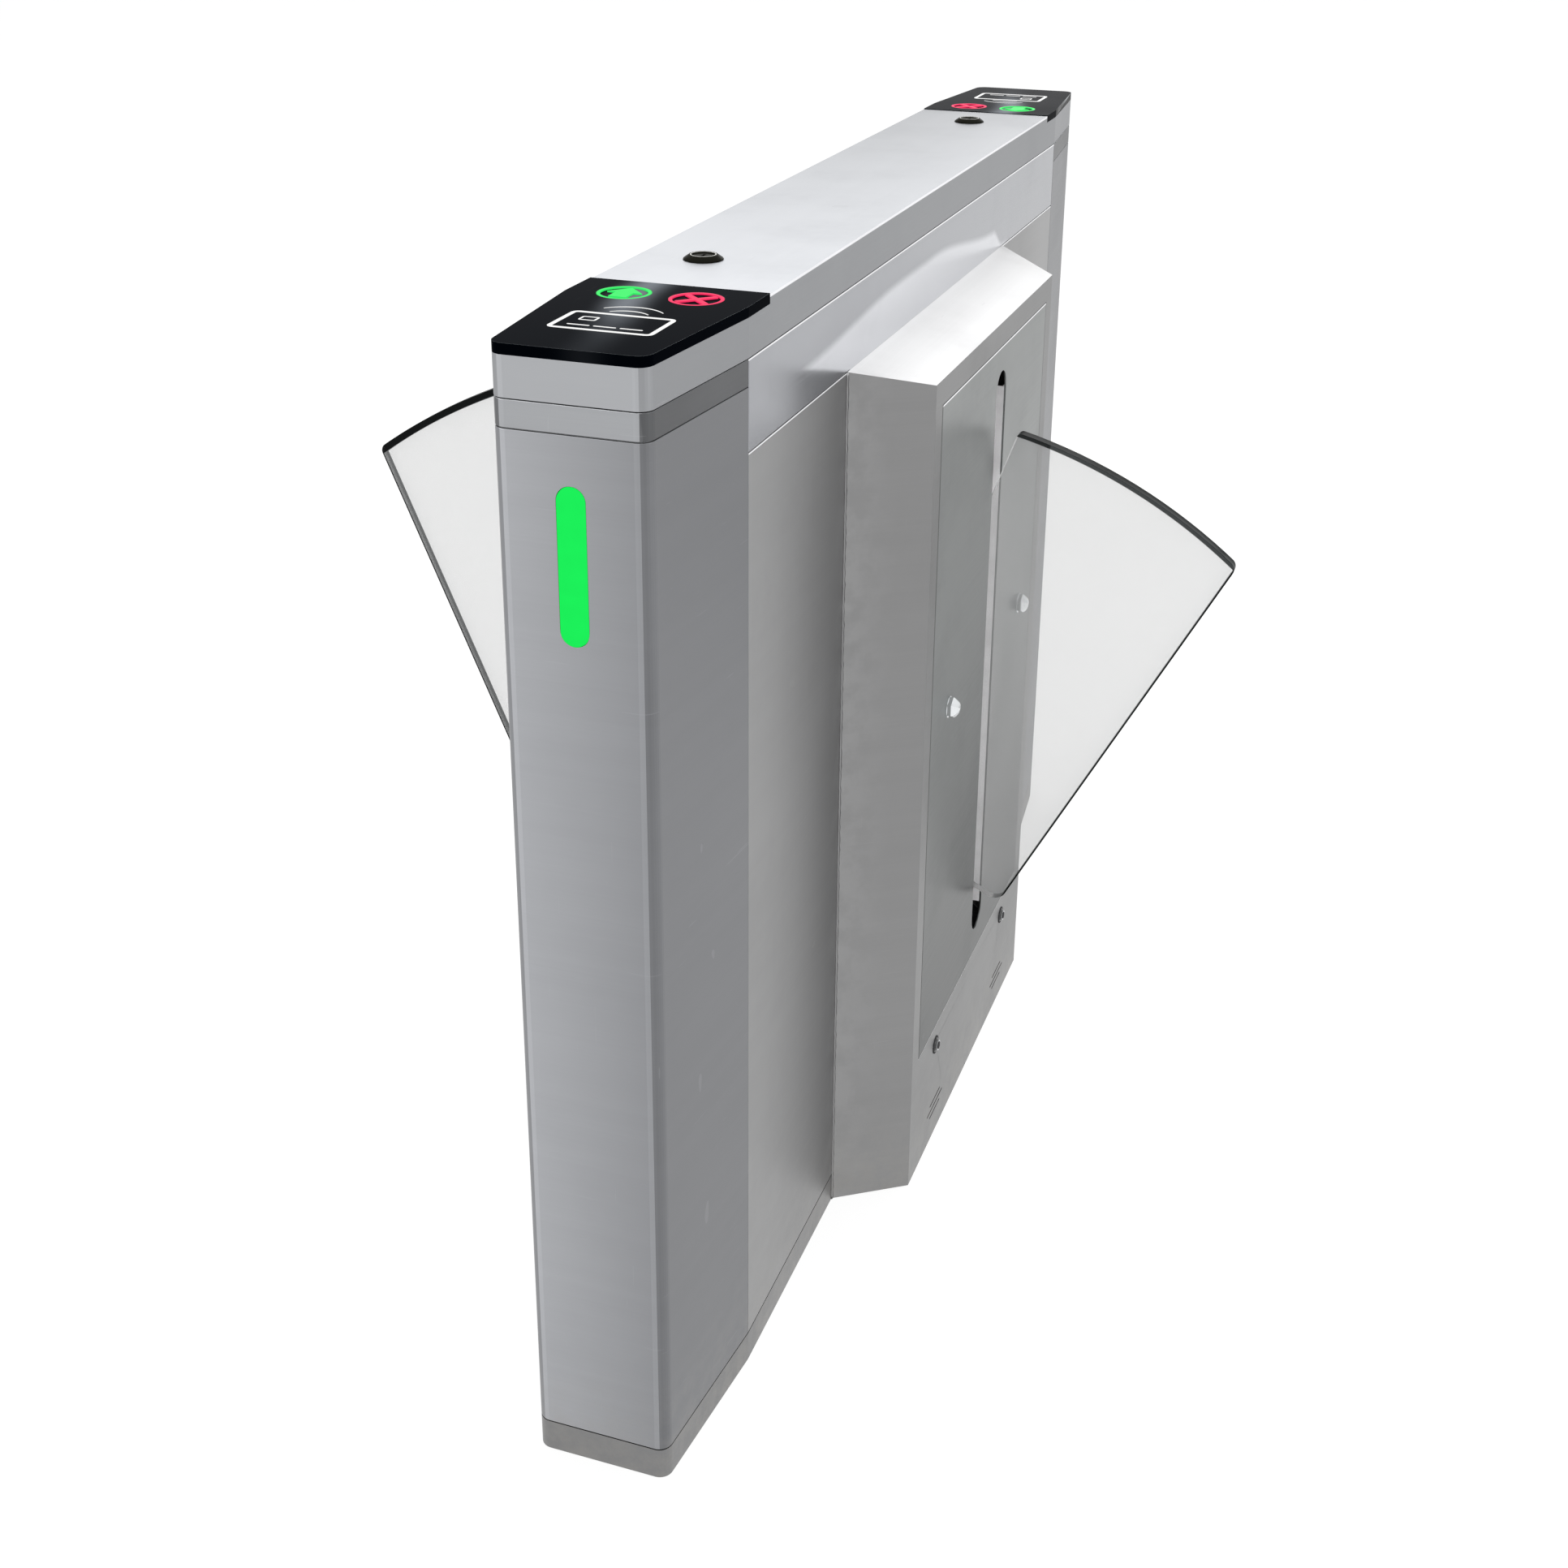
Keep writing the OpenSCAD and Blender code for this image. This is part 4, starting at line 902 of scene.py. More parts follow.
def soften(piece: bpy.types.Object, radius: float) -> None:
    """Rounds a piece's edges with modifiers, so that they catch the light.

    Args:
        piece: the mesh object.
        radius: the width of the rounding.
    """
    piece.modifiers.new("weld", "WELD").merge_threshold = 1e-6
    bevel = piece.modifiers.new("edge", "BEVEL")
    bevel.width = radius
    bevel.segments = 2
    bevel.limit_method = "ANGLE"
    bevel.angle_limit = math.radians(35)
    bevel.use_clamp_overlap = True
    bevel.harden_normals = True


@dataclass
class Builder:
    """Collects solids in one mesh."""

    points: list[Vector] = field(default_factory=list)
    faces: list[tuple[int, ...]] = field(default_factory=list)

    def lay(self, outline: Outline, z: float, place: Matrix) -> int:
        """Adds an outline's points at a height of the place's own frame, and returns the first one's number."""
        self.points += [place @ Vector((p[0], p[1], z)) for p in outline]
        return len(self.points) - len(outline)

    def band(self, low: int, high: int, count: int, closed: bool = True) -> None:
        """Adds the faces between two rows of points, all the way round or with a gap."""
        pairs = [(i, (i + 1) % count) for i in range(count if closed else count - 1)]
        self.faces += [(low + i, low + j, high + j, high + i) for i, j in pairs]

    def close(self, rows: Sequence[int], count: int, flip: bool = False) -> None:
        """Closes rows of points, from the bottom up, into one solid.

        Args:
            rows: the number of each row's first point.
            count: how many points a row has.
            flip: whether the rows run clockwise.
        """
        done = len(self.faces)
        for low, high in zip(rows, rows[1:]):
            self.band(low, high, count)
        foot, head = (tuple(range(row, row + count)) for row in (rows[0], rows[-1]))
        self.faces += [foot[::-1], head]
        if flip:
            self.faces[done:] = [face[::-1] for face in self.faces[done:]]

    def prism(self, outline: Outline, low: float, high: float, place: Matrix) -> None:
        """Adds a closed prism over an outline that runs counter-clockwise."""
        self.close([self.lay(outline, z, place) for z in (low, high)], len(outline))

    def ring(self, outer: Outline, inner: Outline, low: float, high: float, place: Matrix, closed: bool = True) -> None:
        """Adds a band between two outlines with as many points each.

        Args:
            outer: the outer outline, counter-clockwise.
            inner: the inner outline, counter-clockwise.
            low: its lower z.
            high: its upper z.
            place: where its own frame sits.
            closed: whether the band runs all the way round.
        """
        count = len(outer)
        edges = ((outer, low), (outer, high), (inner, high), (inner, low))
        a, b, c, d = (self.lay(outline, z, place) for outline, z in edges)
        for below, above in ((a, b), (b, c), (c, d), (d, a)):
            self.band(below, above, count, closed)
        if not closed:
            self.faces += [(a, b, c, d), tuple(row + count - 1 for row in (d, c, b, a))]

    def turned(self, profile: Outline, place: Matrix, steps: int) -> None:
        """Adds a closed solid of revolution about its own z.

        Args:
            profile: radius and z from the axis at the bottom to the axis at the top.
            place: where its own frame sits.
            steps: how many faces go round.
        """
        foot = self.lay([(0, 0)], profile[0][1], place)
        rows = [self.lay(circle(radius, steps), z, place) for radius, z in profile[1:-1]]
        head = self.lay([(0, 0)], profile[-1][1], place)
        for low, high in zip(rows, rows[1:]):
            self.band(low, high, steps)
        for k in range(steps):
            n = (k + 1) % steps
            self.faces += [(foot, rows[0] + n, rows[0] + k), (rows[-1] + k, rows[-1] + n, head)]

    def finish(
        self, name: str, finish: Finish, slot: str, body: str = "cabinet", smooth: bool = False
    ) -> bpy.types.Object:
        """Makes the piece and lets it ride on a CAD body.

        Args:
            name: the piece's name.
            finish: what it is made of.
            slot: the record's material slot; not used.
            body: the CAD body that carries it.
            smooth: whether its faces shade smoothly.

        Returns:
            The new object.
        """
        mesh = bpy.data.meshes.new(name)
        mesh.from_pydata(self.points, [], self.faces)
        mesh.validate()
        mesh.update()
        mesh.materials.append(finish.material())
        for face in mesh.polygons:
            face.use_smooth = smooth
        piece = bpy.data.objects.new(name, mesh)
        bpy.context.scene.collection.objects.link(piece)
        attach(piece, body)
        log.info("added %s on %s", name, body)
        return piece


def rounded_box(half_x: float, half_y: float, radius: float, steps: int = 6) -> list[Span]:
    """Returns the outline of a rounded rectangle round the origin.

    Args:
        half_x: half its width.
        half_y: half its height.
        radius: its corner radius.
        steps: how many lines make a corner.

    Returns:
        Its points, counter-clockwise.
    """
    outline = []
    for quarter, (sx, sy) in enumerate(((1, 1), (-1, 1), (-1, -1), (1, -1))):
        for k in range(steps + 1):
            x, y = on_circle(radius, (quarter + k / steps) * math.pi / 2)
            outline.append((sx * (half_x - radius) + x, sy * (half_y - radius) + y))
    return outline


def on_circle(radius: float, angle: float) -> Span:
    """Returns the point at an angle of a circle round the origin."""
    return (radius * math.cos(angle), radius * math.sin(angle))


def circle(radius: float, steps: int = 40) -> list[Span]:
    """Returns points on a circle round the origin."""
    return [on_circle(radius, 2 * math.pi * k / steps) for k in range(steps)]


HEXAGON = 6
# Turns that point z towards +X, towards +Y and towards -Y
ALONG_X = Matrix.Rotation(math.pi / 2, 4, "Y")
ALONG_Y = Matrix.Rotation(-math.pi / 2, 4, "X")
AGAINST_Y = Matrix.Rotation(math.pi / 2, 4, "X")


def seat(end: End | Side, place: Sequence[float] = (0, 0, 0), turn: Matrix = Matrix()) -> Matrix:
    """Returns the frame of a place at the front or on the right, taken to this end or side."""
    half_round = Matrix.Rotation(math.pi if end.value < 0 else 0.0, 4, "Z")
    return half_round @ Matrix.Translation(place) @ turn


# Sub-assemblies


@dataclass
class CabinetShell:
    """The plinth, the pillars, the bands and rails and the side panels."""

    edge: float = 0.7 * MM

    def build(self) -> None:
        """Dresses the outer sheets of the cabinet."""
        dress(["plinth_frame"], PLINTH, self.edge)
        dress(["front_pillar", "rear_pillar"], SHELL, self.edge)
        dress(["front_neck_band", "rear_neck_band"], NECK, self.edge)
        dress(["right_upper_rail", "left_upper_rail"], RAIL, self.edge)
        sides = ["front_right", "front_left", "rear_right", "rear_left"]
        dress([side + "_side_panel" for side in sides], SIDE, self.edge)


@dataclass
class FlapHousings:
    """The two splayed housings with their slot plates, guides and fasteners."""

    edge: float = 0.4 * MM
    plate_edge: float = 0.25 * MM
    face_x: float = 145 * MM
    nut_x: float = 146.35 * MM
    nut_place: Span = (150 * MM, 514.93 * MM)
    nut_profile: Spans = ((0, 0), (11, 0), (11, 4), (10.8, 5.2), (8.3, 8.2), (4.6, 10.4), (0, 11.3))
    screw_place: Span = (145 * MM, 116 * MM)
    washer: tuple[float, ...] = (9.9 * MM, 7.9 * MM, -0.1 * MM, 0.7 * MM)
    ring: tuple[float, ...] = (5.6 * MM, 4.4 * MM, 2.2 * MM, 3.6 * MM)
    socket: tuple[float, ...] = (4.2 * MM, 2.2 * MM, 4.05 * MM)
    bead: float = 1.6 * MM
    bead_pitch: float = 5.0 * MM
    bead_sink: float = 0.2 * MM
    bead_skew: float = 0.5 * MM
    ripples: Spans = ((0.18, 2.4), (0.10, 0.7))
    back_half: float = 286 * MM
    rail_z: float = 886 * MM
    side_x: float = 76 * MM

    def build(self) -> None:
        """Dresses the housings and adds the fasteners' detail and the weld beads."""
        dress(["right_flap_housing", "left_flap_housing"], HOUSING, self.edge)
        dress(["right_slot_plate", "left_slot_plate"], SLOT_PLATE, self.plate_edge)
        dress(["slot_guides"], GUIDE)
        dress(["waist_cap_nuts"], CHROME)
        dress(["ankle_screws"], DARK_SCREW)
        for side in Side:
            self.weld(side)
            self.fasteners(side)

    def fasteners(self, side: Side) -> None:
        """Adds the flats of the cap nuts, and the washers and rings of the screws, with a dark hexagon on each that is
        painted shade for its socket.

        Args:
            side: the side of the cabinet.
        """
        nuts, washers, rings, sockets = (Builder() for _ in range(4))
        for end in End:
            y, z = self.nut_place
            profile = [(radius * MM, rise * MM) for radius, rise in self.nut_profile]
            nuts.turned(profile, seat(side, (self.nut_x, end.value * y, z), ALONG_X), HEXAGON)
            y, z = self.screw_place
            place = seat(side, (self.face_x, end.value * y, z), ALONG_X)
            for made, (outer, inner, low, high) in ((washers, self.washer), (rings, self.ring)):
                made.ring(circle(outer), circle(inner), low, high, place)
            # Painted shade: a dark hexagon on the screw's head stands for its socket's recess.
            radius, low, high = self.socket
            sockets.prism(circle(radius, HEXAGON), low, high, place)
        name = side.name.lower()
        nuts.finish(name + "_cap_nut_hexes", CHROME, "polished_steel")
        washers.finish(name + "_screw_washers", RUBBER_AND_SOCKET_SHADE, "dark_screw")
        rings.finish(name + "_screw_rings", BEARING, "polished_steel")
        sockets.finish(name + "_screw_sockets", RUBBER_AND_SOCKET_SHADE, "dark_screw")

    def weld(self, side: Side) -> None:
        """Adds the rippled weld along both upright joints of one housing.

        Args:
            side: the side of the cabinet.
        """
        made, turn, foot_x = Builder(), seat(side), self.side_x - self.bead_sink
        for end in (-1, 1):
            rows = []
            for k in range(int(self.rail_z / self.bead_pitch) + 1):
                r = self.bead * (1 + sum(share * math.sin(k * beat) for share, beat in self.ripples))
                profile = (
                    (foot_x, r), (self.side_x + 0.6 * r, 0.55 * r),
                    (self.side_x + r, -self.bead_skew - 0.7 * r), (foot_x, -r),
                )
                bead = [(x, end * (self.back_half + off)) for x, off in profile]
                rows.append(made.lay(bead, k * self.bead_pitch, turn))
            made.close(rows, len(profile), flip=end > 0)
        made.finish(side.name.lower() + "_housing_welds", HOUSING, "shell_steel", smooth=True)


@dataclass
class StatusLights:
    """The green light at each end and the board behind it."""

    def build(self) -> None:
        """Dresses the lenses and the boards."""
        dress(["front_status_lens", "rear_status_lens"], STATUS)
        dress(["status_light_boards"], BOARD)


@dataclass
class Lid:
    """The lift-off lid with its reader panels, symbols and locks."""

    edge: float = 0.6 * MM
    panel_edge: float = 0.8 * MM
    panel_top: float = 1001 * MM
    inlay: float = 0.15 * MM
    card_y: float = -620 * MM
    card_half: Span = (42 * MM, 26 * MM)
    card_corners: Span = (6 * MM, 2.2 * MM)
    card_line: float = 3.8 * MM
    chip_half: Span = (7 * MM, 5.5 * MM)
    chip_corners: Span = (2 * MM, 0.8 * MM)
    chip_line: float = 1.6 * MM
    dash_half: Span = (9 * MM, 1 * MM)
    dash_corner: float = 0.95 * MM
    wave_line: float = 1.7 * MM
    wave_ends: float = 0.35
    wave_taper: float = math.pi / 2.4
    waves: tuple[Point, ...] = ((24 * MM, -580 * MM, 10.5 * MM), (15.5 * MM, -588.5 * MM, 6 * MM))
    symbol_at: Span = (30 * MM, -528 * MM)
    symbol_r: float = 21.5 * MM
    symbol_ring: float = 2.7 * MM
    symbol_deep: float = 1.19 * MM
    cross: Span = (17.2 * MM, 2.3 * MM)
    arrow_shares: Spans = (
        (0, 0.76), (-0.68, 0.04), (-0.34, 0.04), (-0.34, -0.66), (0.34, -0.66), (0.34, 0.04), (0.68, 0.04)
    )
    lock_places: Spans = ((-18 * MM, -391 * MM), (0.0, 413 * MM))
    lock_ring: tuple[float, ...] = (11.05 * MM, 10.25 * MM, 1004.1 * MM, 1004.48 * MM)

    def build(self) -> None:
        """Dresses the lid and adds the printed card, its waves, the symbols and the locks' rings."""
        dress(["lid_cover"], LID, self.edge)
        dress(["front_reader_panel", "rear_reader_panel"], PANEL, self.panel_edge)
        dress(["front_reader_module", "rear_reader_module"], PLASTIC)
        dress(["lock_bodies"], LOCK_BLACK, self.edge)
        dress(["front_lock_plug", "rear_lock_plug"], LOCK_BLACK)
        for end in End:
            self.card(end)
        self.rings()
        length, half = self.cross
        corner, turns = ((half, half), (half, length), (-half, length)), ((1, 0), (0, 1), (-1, 0), (0, -1))
        bars = [(c * x - s * y, s * x + c * y) for c, s in turns for x, y in corner]
        arrow = [(x * self.symbol_r, y * self.symbol_r) for x, y in self.arrow_shares]
        self.symbols("go", -1, arrow, GO, "symbol_green")
        self.symbols("stop", 1, bars, STOP, "symbol_red", math.pi / 4)

    def symbols(
        self, name: str, side: int, outline: Outline, finish: Finish, slot: str, turn: float = 0.0
    ) -> None:
        """Adds a symbol and its thin ring at both ends, in the place of the CAD node's heavier ones.

        Args:
            name: which symbol it is.
            side: the side of the middle that it is on.
            outline: the outline of its figure.
            finish: what it is made of.
            slot: the record's material slot.
            turn: how far the figure is turned.
        """
        made = Builder()
        x, y = self.symbol_at
        outer, inner = (circle(r, steps=64) for r in (self.symbol_r, self.symbol_r - self.symbol_ring))
        for end in End:
            place = seat(end, (side * x, y, self.panel_top))
            made.ring(outer, inner, -self.symbol_deep, 0.0, place)
            made.prism(outline, -self.symbol_deep, 0.0, place @ Matrix.Rotation(turn, 4, "Z"))
        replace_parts(made.finish(name + "_signs", finish, slot, "lid"), name + "_symbols")

    def card(self, end: End) -> None:
        """Adds the card's outline with a plain chip and a row of dashes, and the waves above it.

        Args:
            end: the end of the cabinet.
        """
        made = Builder()
        half_x, half_y = self.card_half
        place = seat(end, (0, self.card_y, self.panel_top))
        chip = place @ Matrix.Translation((-half_x / 2, half_y / 4, 0))
        self.border(made, self.card_half, self.card_corners, self.card_line, place)
        self.border(made, self.chip_half, self.chip_corners, self.chip_line, chip)
        for k in (-1, 0, 1):
            spot = place @ Matrix.Translation((k * half_x / 2, -half_y / 2, 0))
            made.prism(rounded_box(*self.dash_half, self.dash_corner), -self.inlay, self.inlay, spot)
        for half, y, rise in self.waves:
            self.wave(made, half, y, rise, end)
        made.finish(end.name.lower() + "_card_mark", WHITE_INLAY, "black_panel", "lid")

    def border(self, made: Builder, half: Span, corners: Span, line: float, place: Matrix) -> None:
        """Adds the border of a rounded rectangle, with the radius of its outer and its inner corners."""
        inner = rounded_box(half[0] - line, half[1] - line, corners[1])
        made.ring(rounded_box(*half, corners[0]), inner, -self.inlay, self.inlay, place)

    def wave(self, made: Builder, half: float, y: float, rise: float, end: End) -> None:
        """Adds one wave that tapers towards its ends.

        Args:
            made: the builder that takes it.
            half: half its chord.
            y: where its ends are.
            rise: how far its middle stands above them.
            end: the end of the cabinet.
        """
        radius = (half * half + rise * rise) / (2 * rise)
        reach = math.asin(half / radius)
        outer, inner, steps = [], [], 18
        for k in range(steps + 1):
            share = 1 - 2 * k / steps
            swell = math.cos(share * self.wave_taper)
            line = self.wave_line * (self.wave_ends + (1 - self.wave_ends) * swell)
            for points, r in ((outer, radius + line / 2), (inner, radius - line / 2)):
                points.append(on_circle(r, math.pi / 2 - reach * share))
        centre = seat(end, (0, y + rise - radius, self.panel_top))
        made.ring(outer, inner, -self.inlay, self.inlay, centre, closed=False)

    def rings(self) -> None:
        """Adds the bright ring round each lock's plug."""
        made = Builder()
        outer, inner, low, high = self.lock_ring
        for x, y in self.lock_places:
            made.ring(circle(outer), circle(inner), low, high, Matrix.Translation((x, y, 0)))
        made.finish("lock_rings", LOCK_RING, "polished_steel", "lid")


@dataclass
class FlapDrive:
    """The base, the bearing stands, the motors and the linkage of both flaps."""

    motor_x: float = 24 * MM
    motor_z: float = 290 * MM
    can_y: Span = (172 * MM, 266 * MM)
    fins: int = 11
    fin_r: Span = (34.5 * MM, 31.5 * MM)
    fin_half: float = 1 * MM
    fin_arc: Span = (1.15 * math.pi, 1.85 * math.pi)
    gearbox_y: float = 154 * MM
    bolt_reach: float = 27 * MM
    bolt_profile: Spans = (
        (0, -0.5 * MM), (4 * MM, -0.5 * MM), (4 * MM, 3 * MM), (3.4 * MM, 3.6 * MM), (0, 3.6 * MM)
    )

    def build(self) -> None:
        """Dresses the drive and adds the motors' fins and bolts."""
        dress(["mechanism_base", "right_bearing_stand", "left_bearing_stand"], DRIVE, edge=0.6 * MM)
        dress(["shaft_bearings"], BEARING)
        dress(["right_gear_motor", "left_gear_motor"], MOTOR, edge=0.8 * MM)
        dress(["stop_buffers"], RUBBER_AND_SOCKET_SHADE, edge=0.8 * MM)
        dress(["position_sensors"], PLASTIC)
        dress(["right_crank", "left_crank"], DRIVE, edge=0.5 * MM)
        dress(["right_link", "left_link"], BEARING, edge=0.5 * MM)
        for side in Side:
            self.motor_detail(side)

    def motor_detail(self, side: Side) -> None:
        """Adds the cooling fins under one motor and the bolts of its gearbox.

        Args:
            side: the side whose flap it drives.
        """
        fins, bolts = Builder(), Builder()
        (first, last), (start, stop), steps = self.can_y, self.fin_arc, 24
        angles = [start + (stop - start) * k / steps for k in range(steps + 1)]
        outer, inner = ([on_circle(r, -angle) for angle in reversed(angles)] for r in self.fin_r)
        for k in range(self.fins):
            y = first + (last - first) * k / (self.fins - 1)
            place = seat(side, (self.motor_x, y, self.motor_z), ALONG_Y)
            fins.ring(outer, inner, -self.fin_half, self.fin_half, place, closed=False)
        for sx in (-1, 1):
            for sz in (-1, 1):
                corner = (self.motor_x + sx * self.bolt_reach, self.gearbox_y, self.motor_z + sz * self.bolt_reach)
                bolts.turned(self.bolt_profile, seat(side, corner, ALONG_Y), steps=20)
        fins.finish(side.name.lower() + "_motor_fins", MOTOR, "motor_paint")
        bolts.finish(side.name.lower() + "_gearbox_bolts", CHROME, "polished_steel")


@dataclass
class InnerWorks:
    """The frame, the mounting plates and the electrics inside the cabinet."""

    louvre_rows: int = 6
    louvre_columns: int = 3
    louvre_foot: float = 20 * MM
    louvre_pitch: float = 18 * MM
    louvre_profile: Spans = ((0, -0.4 * MM), (3 * MM, -0.4 * MM), (3 * MM, 0.2 * MM), (0, 0.5 * MM))
    louvre_stretch: float = 5.0
    cap_profile: Spans = ((0, 0), (6 * MM, 0), (6 * MM, 6 * MM), (5 * MM, 7 * MM), (0, 7 * MM))
    cap_at: Span = (14 * MM, 119 * MM)

    def build(self) -> None:
        """Dresses what the lid covers."""
        dress(["inner_frame", "mounting_plates", "lock_strikes"], FRAME, edge=0.4 * MM)
        dress(["control_board"], BOARD)
        dress(["power_supply"], SUPPLY, edge=0.5 * MM)
        dress(["backup_battery"], BATTERY, edge=0.8 * MM)
        dress(["cable_grommets"], RUBBER_AND_SOCKET_SHADE, edge=0.8 * MM)
        self.supply_slots()
        self.battery_terminals()

    def supply_slots(self) -> None:
        """Adds the rows of louvres on the power supply's face."""
        low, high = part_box("power_supply")
        made = Builder()
        for row in range(self.louvre_rows):
            for column in range(self.louvre_columns):
                y = low.y + (high.y - low.y) * (column + 0.5) / self.louvre_columns
                z = low.z + self.louvre_foot + row * self.louvre_pitch
                place = Matrix.Translation((high.x, y, z)) @ ALONG_X @ Matrix.Diagonal((1, self.louvre_stretch, 1, 1))
                made.turned(self.louvre_profile, place, steps=24)
        made.finish("supply_louvres", SUPPLY, "supply_case")

    def battery_terminals(self) -> None:
        """Adds the two terminal caps on the battery."""
        low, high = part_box("backup_battery")
        x, z = self.cap_at
        for name, share, finish in (("battery_plus_cap", 0.2, RED_CAP), ("battery_minus_cap", 0.8, PLASTIC)):
            made = Builder()
            place = Matrix.Translation((low.x + x, low.y + (high.y - low.y) * share, low.z + z))
            made.turned(self.cap_profile, place, steps=24)
            made.finish(name, finish, "module_plastic")


@dataclass
class Flaps:
    """The clear flaps with their clamp arms, bolts and shafts."""

    panel_edge: float = 0.7 * MM
    pivot: Point = (104 * MM, 18 * MM, 100 * MM)
    bolt_column: float = 11 * MM
    bolt_rows: tuple[float, ...] = (172 * MM, 202 * MM, 232 * MM)
    head_face: float = 11 * MM
    socket: Point = (3 * MM, -0.3 * MM, 0.12 * MM)

    def build(self) -> None:
        """Dresses the flaps and adds a dark hexagon in each bolt's head, painted shade for its socket."""
        dress(["right_flap_panel"], RIGHT_ACRYLIC, self.panel_edge)
        dress(["left_flap_panel"], LEFT_ACRYLIC, self.panel_edge)
        dress(["right_clamp_arm", "left_clamp_arm"], DRIVE, edge=0.5 * MM)
        dress(["right_clamp_bolts", "left_clamp_bolts"], CHROME, edge=0.4 * MM)
        dress(["right_flap_shaft", "left_flap_shaft"], BEARING, edge=0.4 * MM)
        for side in Side:
            self.sockets(side)

    def sockets(self, side: Side) -> None:
        """Adds a dark hexagon in the head of each clamp bolt: painted shade for its socket.

        Args:
            side: the side of the flap.
        """
        made = Builder()
        x, y, z = self.pivot
        radius, low, high = self.socket
        for sx in (-1, 1):
            for row in self.bolt_rows:
                head = (x + sx * self.bolt_column, y - self.head_face, z + row)
                made.prism(circle(radius, HEXAGON), low, high, seat(side, head, AGAINST_Y))
        name = side.name.lower()
        made.finish(name + "_bolt_sockets", DARK_SCREW, "dark_screw", name + "_flap")


# Studio


@dataclass(frozen=True)
class Lamp:
    """A soft square lamp: where it is and points, its size, its watts, and whether gloss shows it."""

    name: str
    place: Point
    aim: Point
    size: float
    power: float
    mirrored: bool = True

    def hang(self) -> None:
        """Adds the lamp to the scene."""
        data = bpy.data.lights.new(self.name, "AREA")
        data.energy = self.power
        data.size = self.size
        lamp = bpy.data.objects.new(self.name, data)
        lamp.location = self.place
        lamp.rotation_euler = (Vector(self.aim) - Vector(self.place)).to_track_quat("-Z", "Y").to_euler()
        lamp.visible_camera = False
        lamp.visible_glossy = self.mirrored
        bpy.context.scene.collection.objects.link(lamp)
        log.info("lamp %s", self.name)


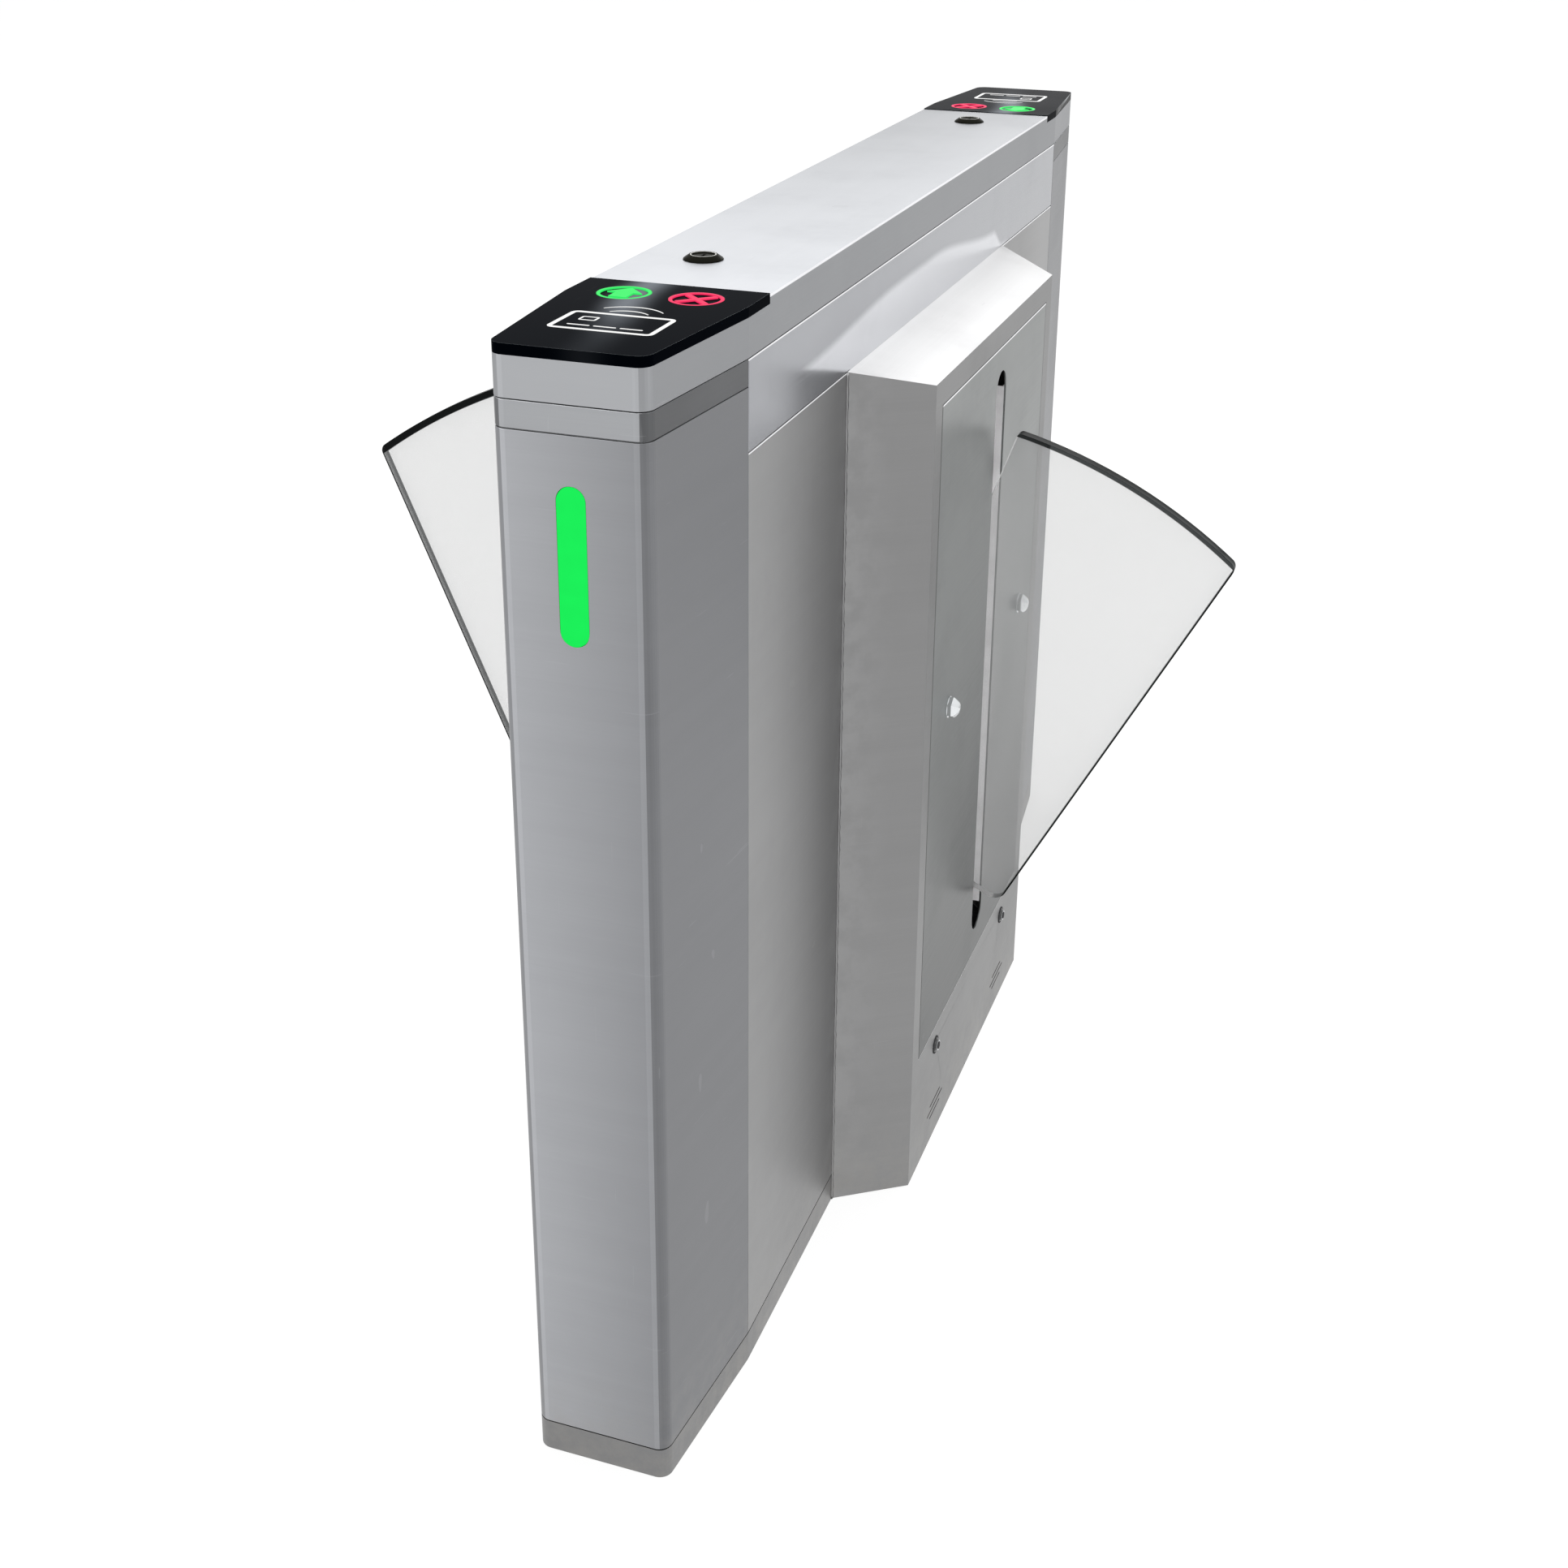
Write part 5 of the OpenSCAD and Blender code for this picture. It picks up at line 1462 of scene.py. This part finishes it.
@dataclass
class Studio:
    """The floor, the lamps, the world and the camera."""

    eye: Point = (0.604143, -1.972628, 1.369441)
    yaw: float = math.radians(-19.331)
    pitch: float = math.radians(-22.076)
    roll: float = math.radians(0.373)
    lens: float = 47.44
    sensor: float = 36.0
    shift_x: float = 0.00407
    shift_y: float = -0.10663
    sight: float = 100.0
    backdrop: float = 1.0
    world_light: float = 0.62
    floor_reach: float = 30.0
    floor_z: float = -0.5 * MM
    floor_matt: Colour = (0.2, 0.2, 0.2)
    floor_glow: float = 0.88
    white: Colour = (1.0, 1.0, 1.0)
    lamps: tuple[Lamp, ...] = (
        Lamp("overhead", (0.2, 0.8, 3.6), (0.0, 0.0, 0.6), 2.6, 60.0, mirrored=False),
        Lamp("front_left", (-2.6, -2.8, 2.2), (0.0, -0.2, 0.5), 2.4, 32.0),
        Lamp("right", (3.4, -0.4, 1.8), (0.0, 0.0, 0.5), 2.6, 26.0),
        Lamp("rear_low", (-0.1, 3.5, 2.1), (0.1, 0.0, 0.86), 1.2, 4.9),
        Lamp("rear", (-1.2, 3.6, 2.6), (0.0, 0.2, 0.6), 2.0, 30.0, mirrored=False),
    )

    def build(self) -> None:
        """Builds the studio round the object."""
        self.world()
        self.floor()
        for lamp in self.lamps:
            lamp.hang()
        self.camera()
        bpy.context.scene.view_settings.view_transform = "Standard"

    def seen(self, tree: Tree) -> Socket:
        """Returns 1 where the camera, glass or gloss looks, and 0 where light falls.

        Args:
            tree: the tree of the world or the floor.

        Returns:
            The share.
        """
        rays = tree.add("LightPath").outputs
        through = tree.calc("MAXIMUM", rays["Is Camera Ray"], rays["Is Transmission Ray"])
        return tree.calc("MAXIMUM", through, rays["Is Glossy Ray"])

    def world(self) -> None:
        """Lights the object evenly and shows white where the camera, gloss or glass looks past it."""
        world = bpy.data.worlds.new("studio_world")
        bpy.context.scene.world = world
        tree = bare_tree(world)
        strength = tree.add("Mix", {0: self.seen(tree), 2: self.world_light, 3: self.backdrop}).outputs[0]
        light = tree.add("Background", {"Color": rgba(self.white), "Strength": strength})
        tree.add("OutputWorld", {"Surface": light.outputs[0]})

    def floor(self) -> None:
        """Lays the pale floor, which keeps the object's shadow."""
        mesh = bpy.data.meshes.new("studio_floor")
        corners = [(x * self.floor_reach, y * self.floor_reach) for x, y in ((-1, -1), (1, -1), (1, 1), (-1, 1))]
        mesh.from_pydata([(x, y, self.floor_z) for x, y in corners], [], [(0, 1, 2, 3)])
        floor = bpy.data.objects.new("studio_floor", mesh)
        bpy.context.scene.collection.objects.link(floor)
        material = bpy.data.materials.new("studio_floor")
        tree = bare_tree(material)
        glowing = tree.times(self.seen(tree), self.floor_glow)
        matt = tree.add("BsdfDiffuse", {"Color": rgba(self.floor_matt)})
        glow = tree.add("Emission", {"Color": rgba(self.white), "Strength": glowing})
        both = tree.add("AddShader", {0: matt.outputs[0], 1: glow.outputs[0]})
        tree.add("OutputMaterial", {"Surface": both.outputs[0]})
        mesh.materials.append(material)

    def camera(self) -> None:
        """Sets the camera where the photograph was taken."""
        right = Vector((math.cos(self.yaw), -math.sin(self.yaw), 0.0))
        ahead = Vector((
            math.sin(self.yaw) * math.cos(self.pitch), math.cos(self.yaw) * math.cos(self.pitch), math.sin(self.pitch)
        ))
        up = right.cross(ahead)
        turned_right = math.cos(self.roll) * right + math.sin(self.roll) * up
        turned_up = -math.sin(self.roll) * right + math.cos(self.roll) * up
        data = bpy.data.cameras.new("photo_camera")
        data.lens = self.lens
        data.sensor_width = self.sensor
        data.shift_x = self.shift_x
        data.shift_y = self.shift_y
        data.clip_end = self.sight
        camera = bpy.data.objects.new("photo_camera", data)
        turn = Matrix((turned_right, turned_up, -ahead)).transposed().to_4x4()
        camera.matrix_world = Matrix.Translation(self.eye) @ turn
        bpy.context.scene.collection.objects.link(camera)
        bpy.context.scene.camera = camera


def main() -> None:
    """Dresses the part, sub-assembly by sub-assembly, and sets up the studio."""
    logging.basicConfig(level=logging.INFO, format="%(name)s: %(message)s")
    for assembly in (CabinetShell(), FlapHousings(), StatusLights(), Lid(), FlapDrive(), InnerWorks(), Flaps()):
        assembly.build()
        log.info("%s is done", type(assembly).__name__)
    Studio().build()


if __name__ == "__main__":
    main()
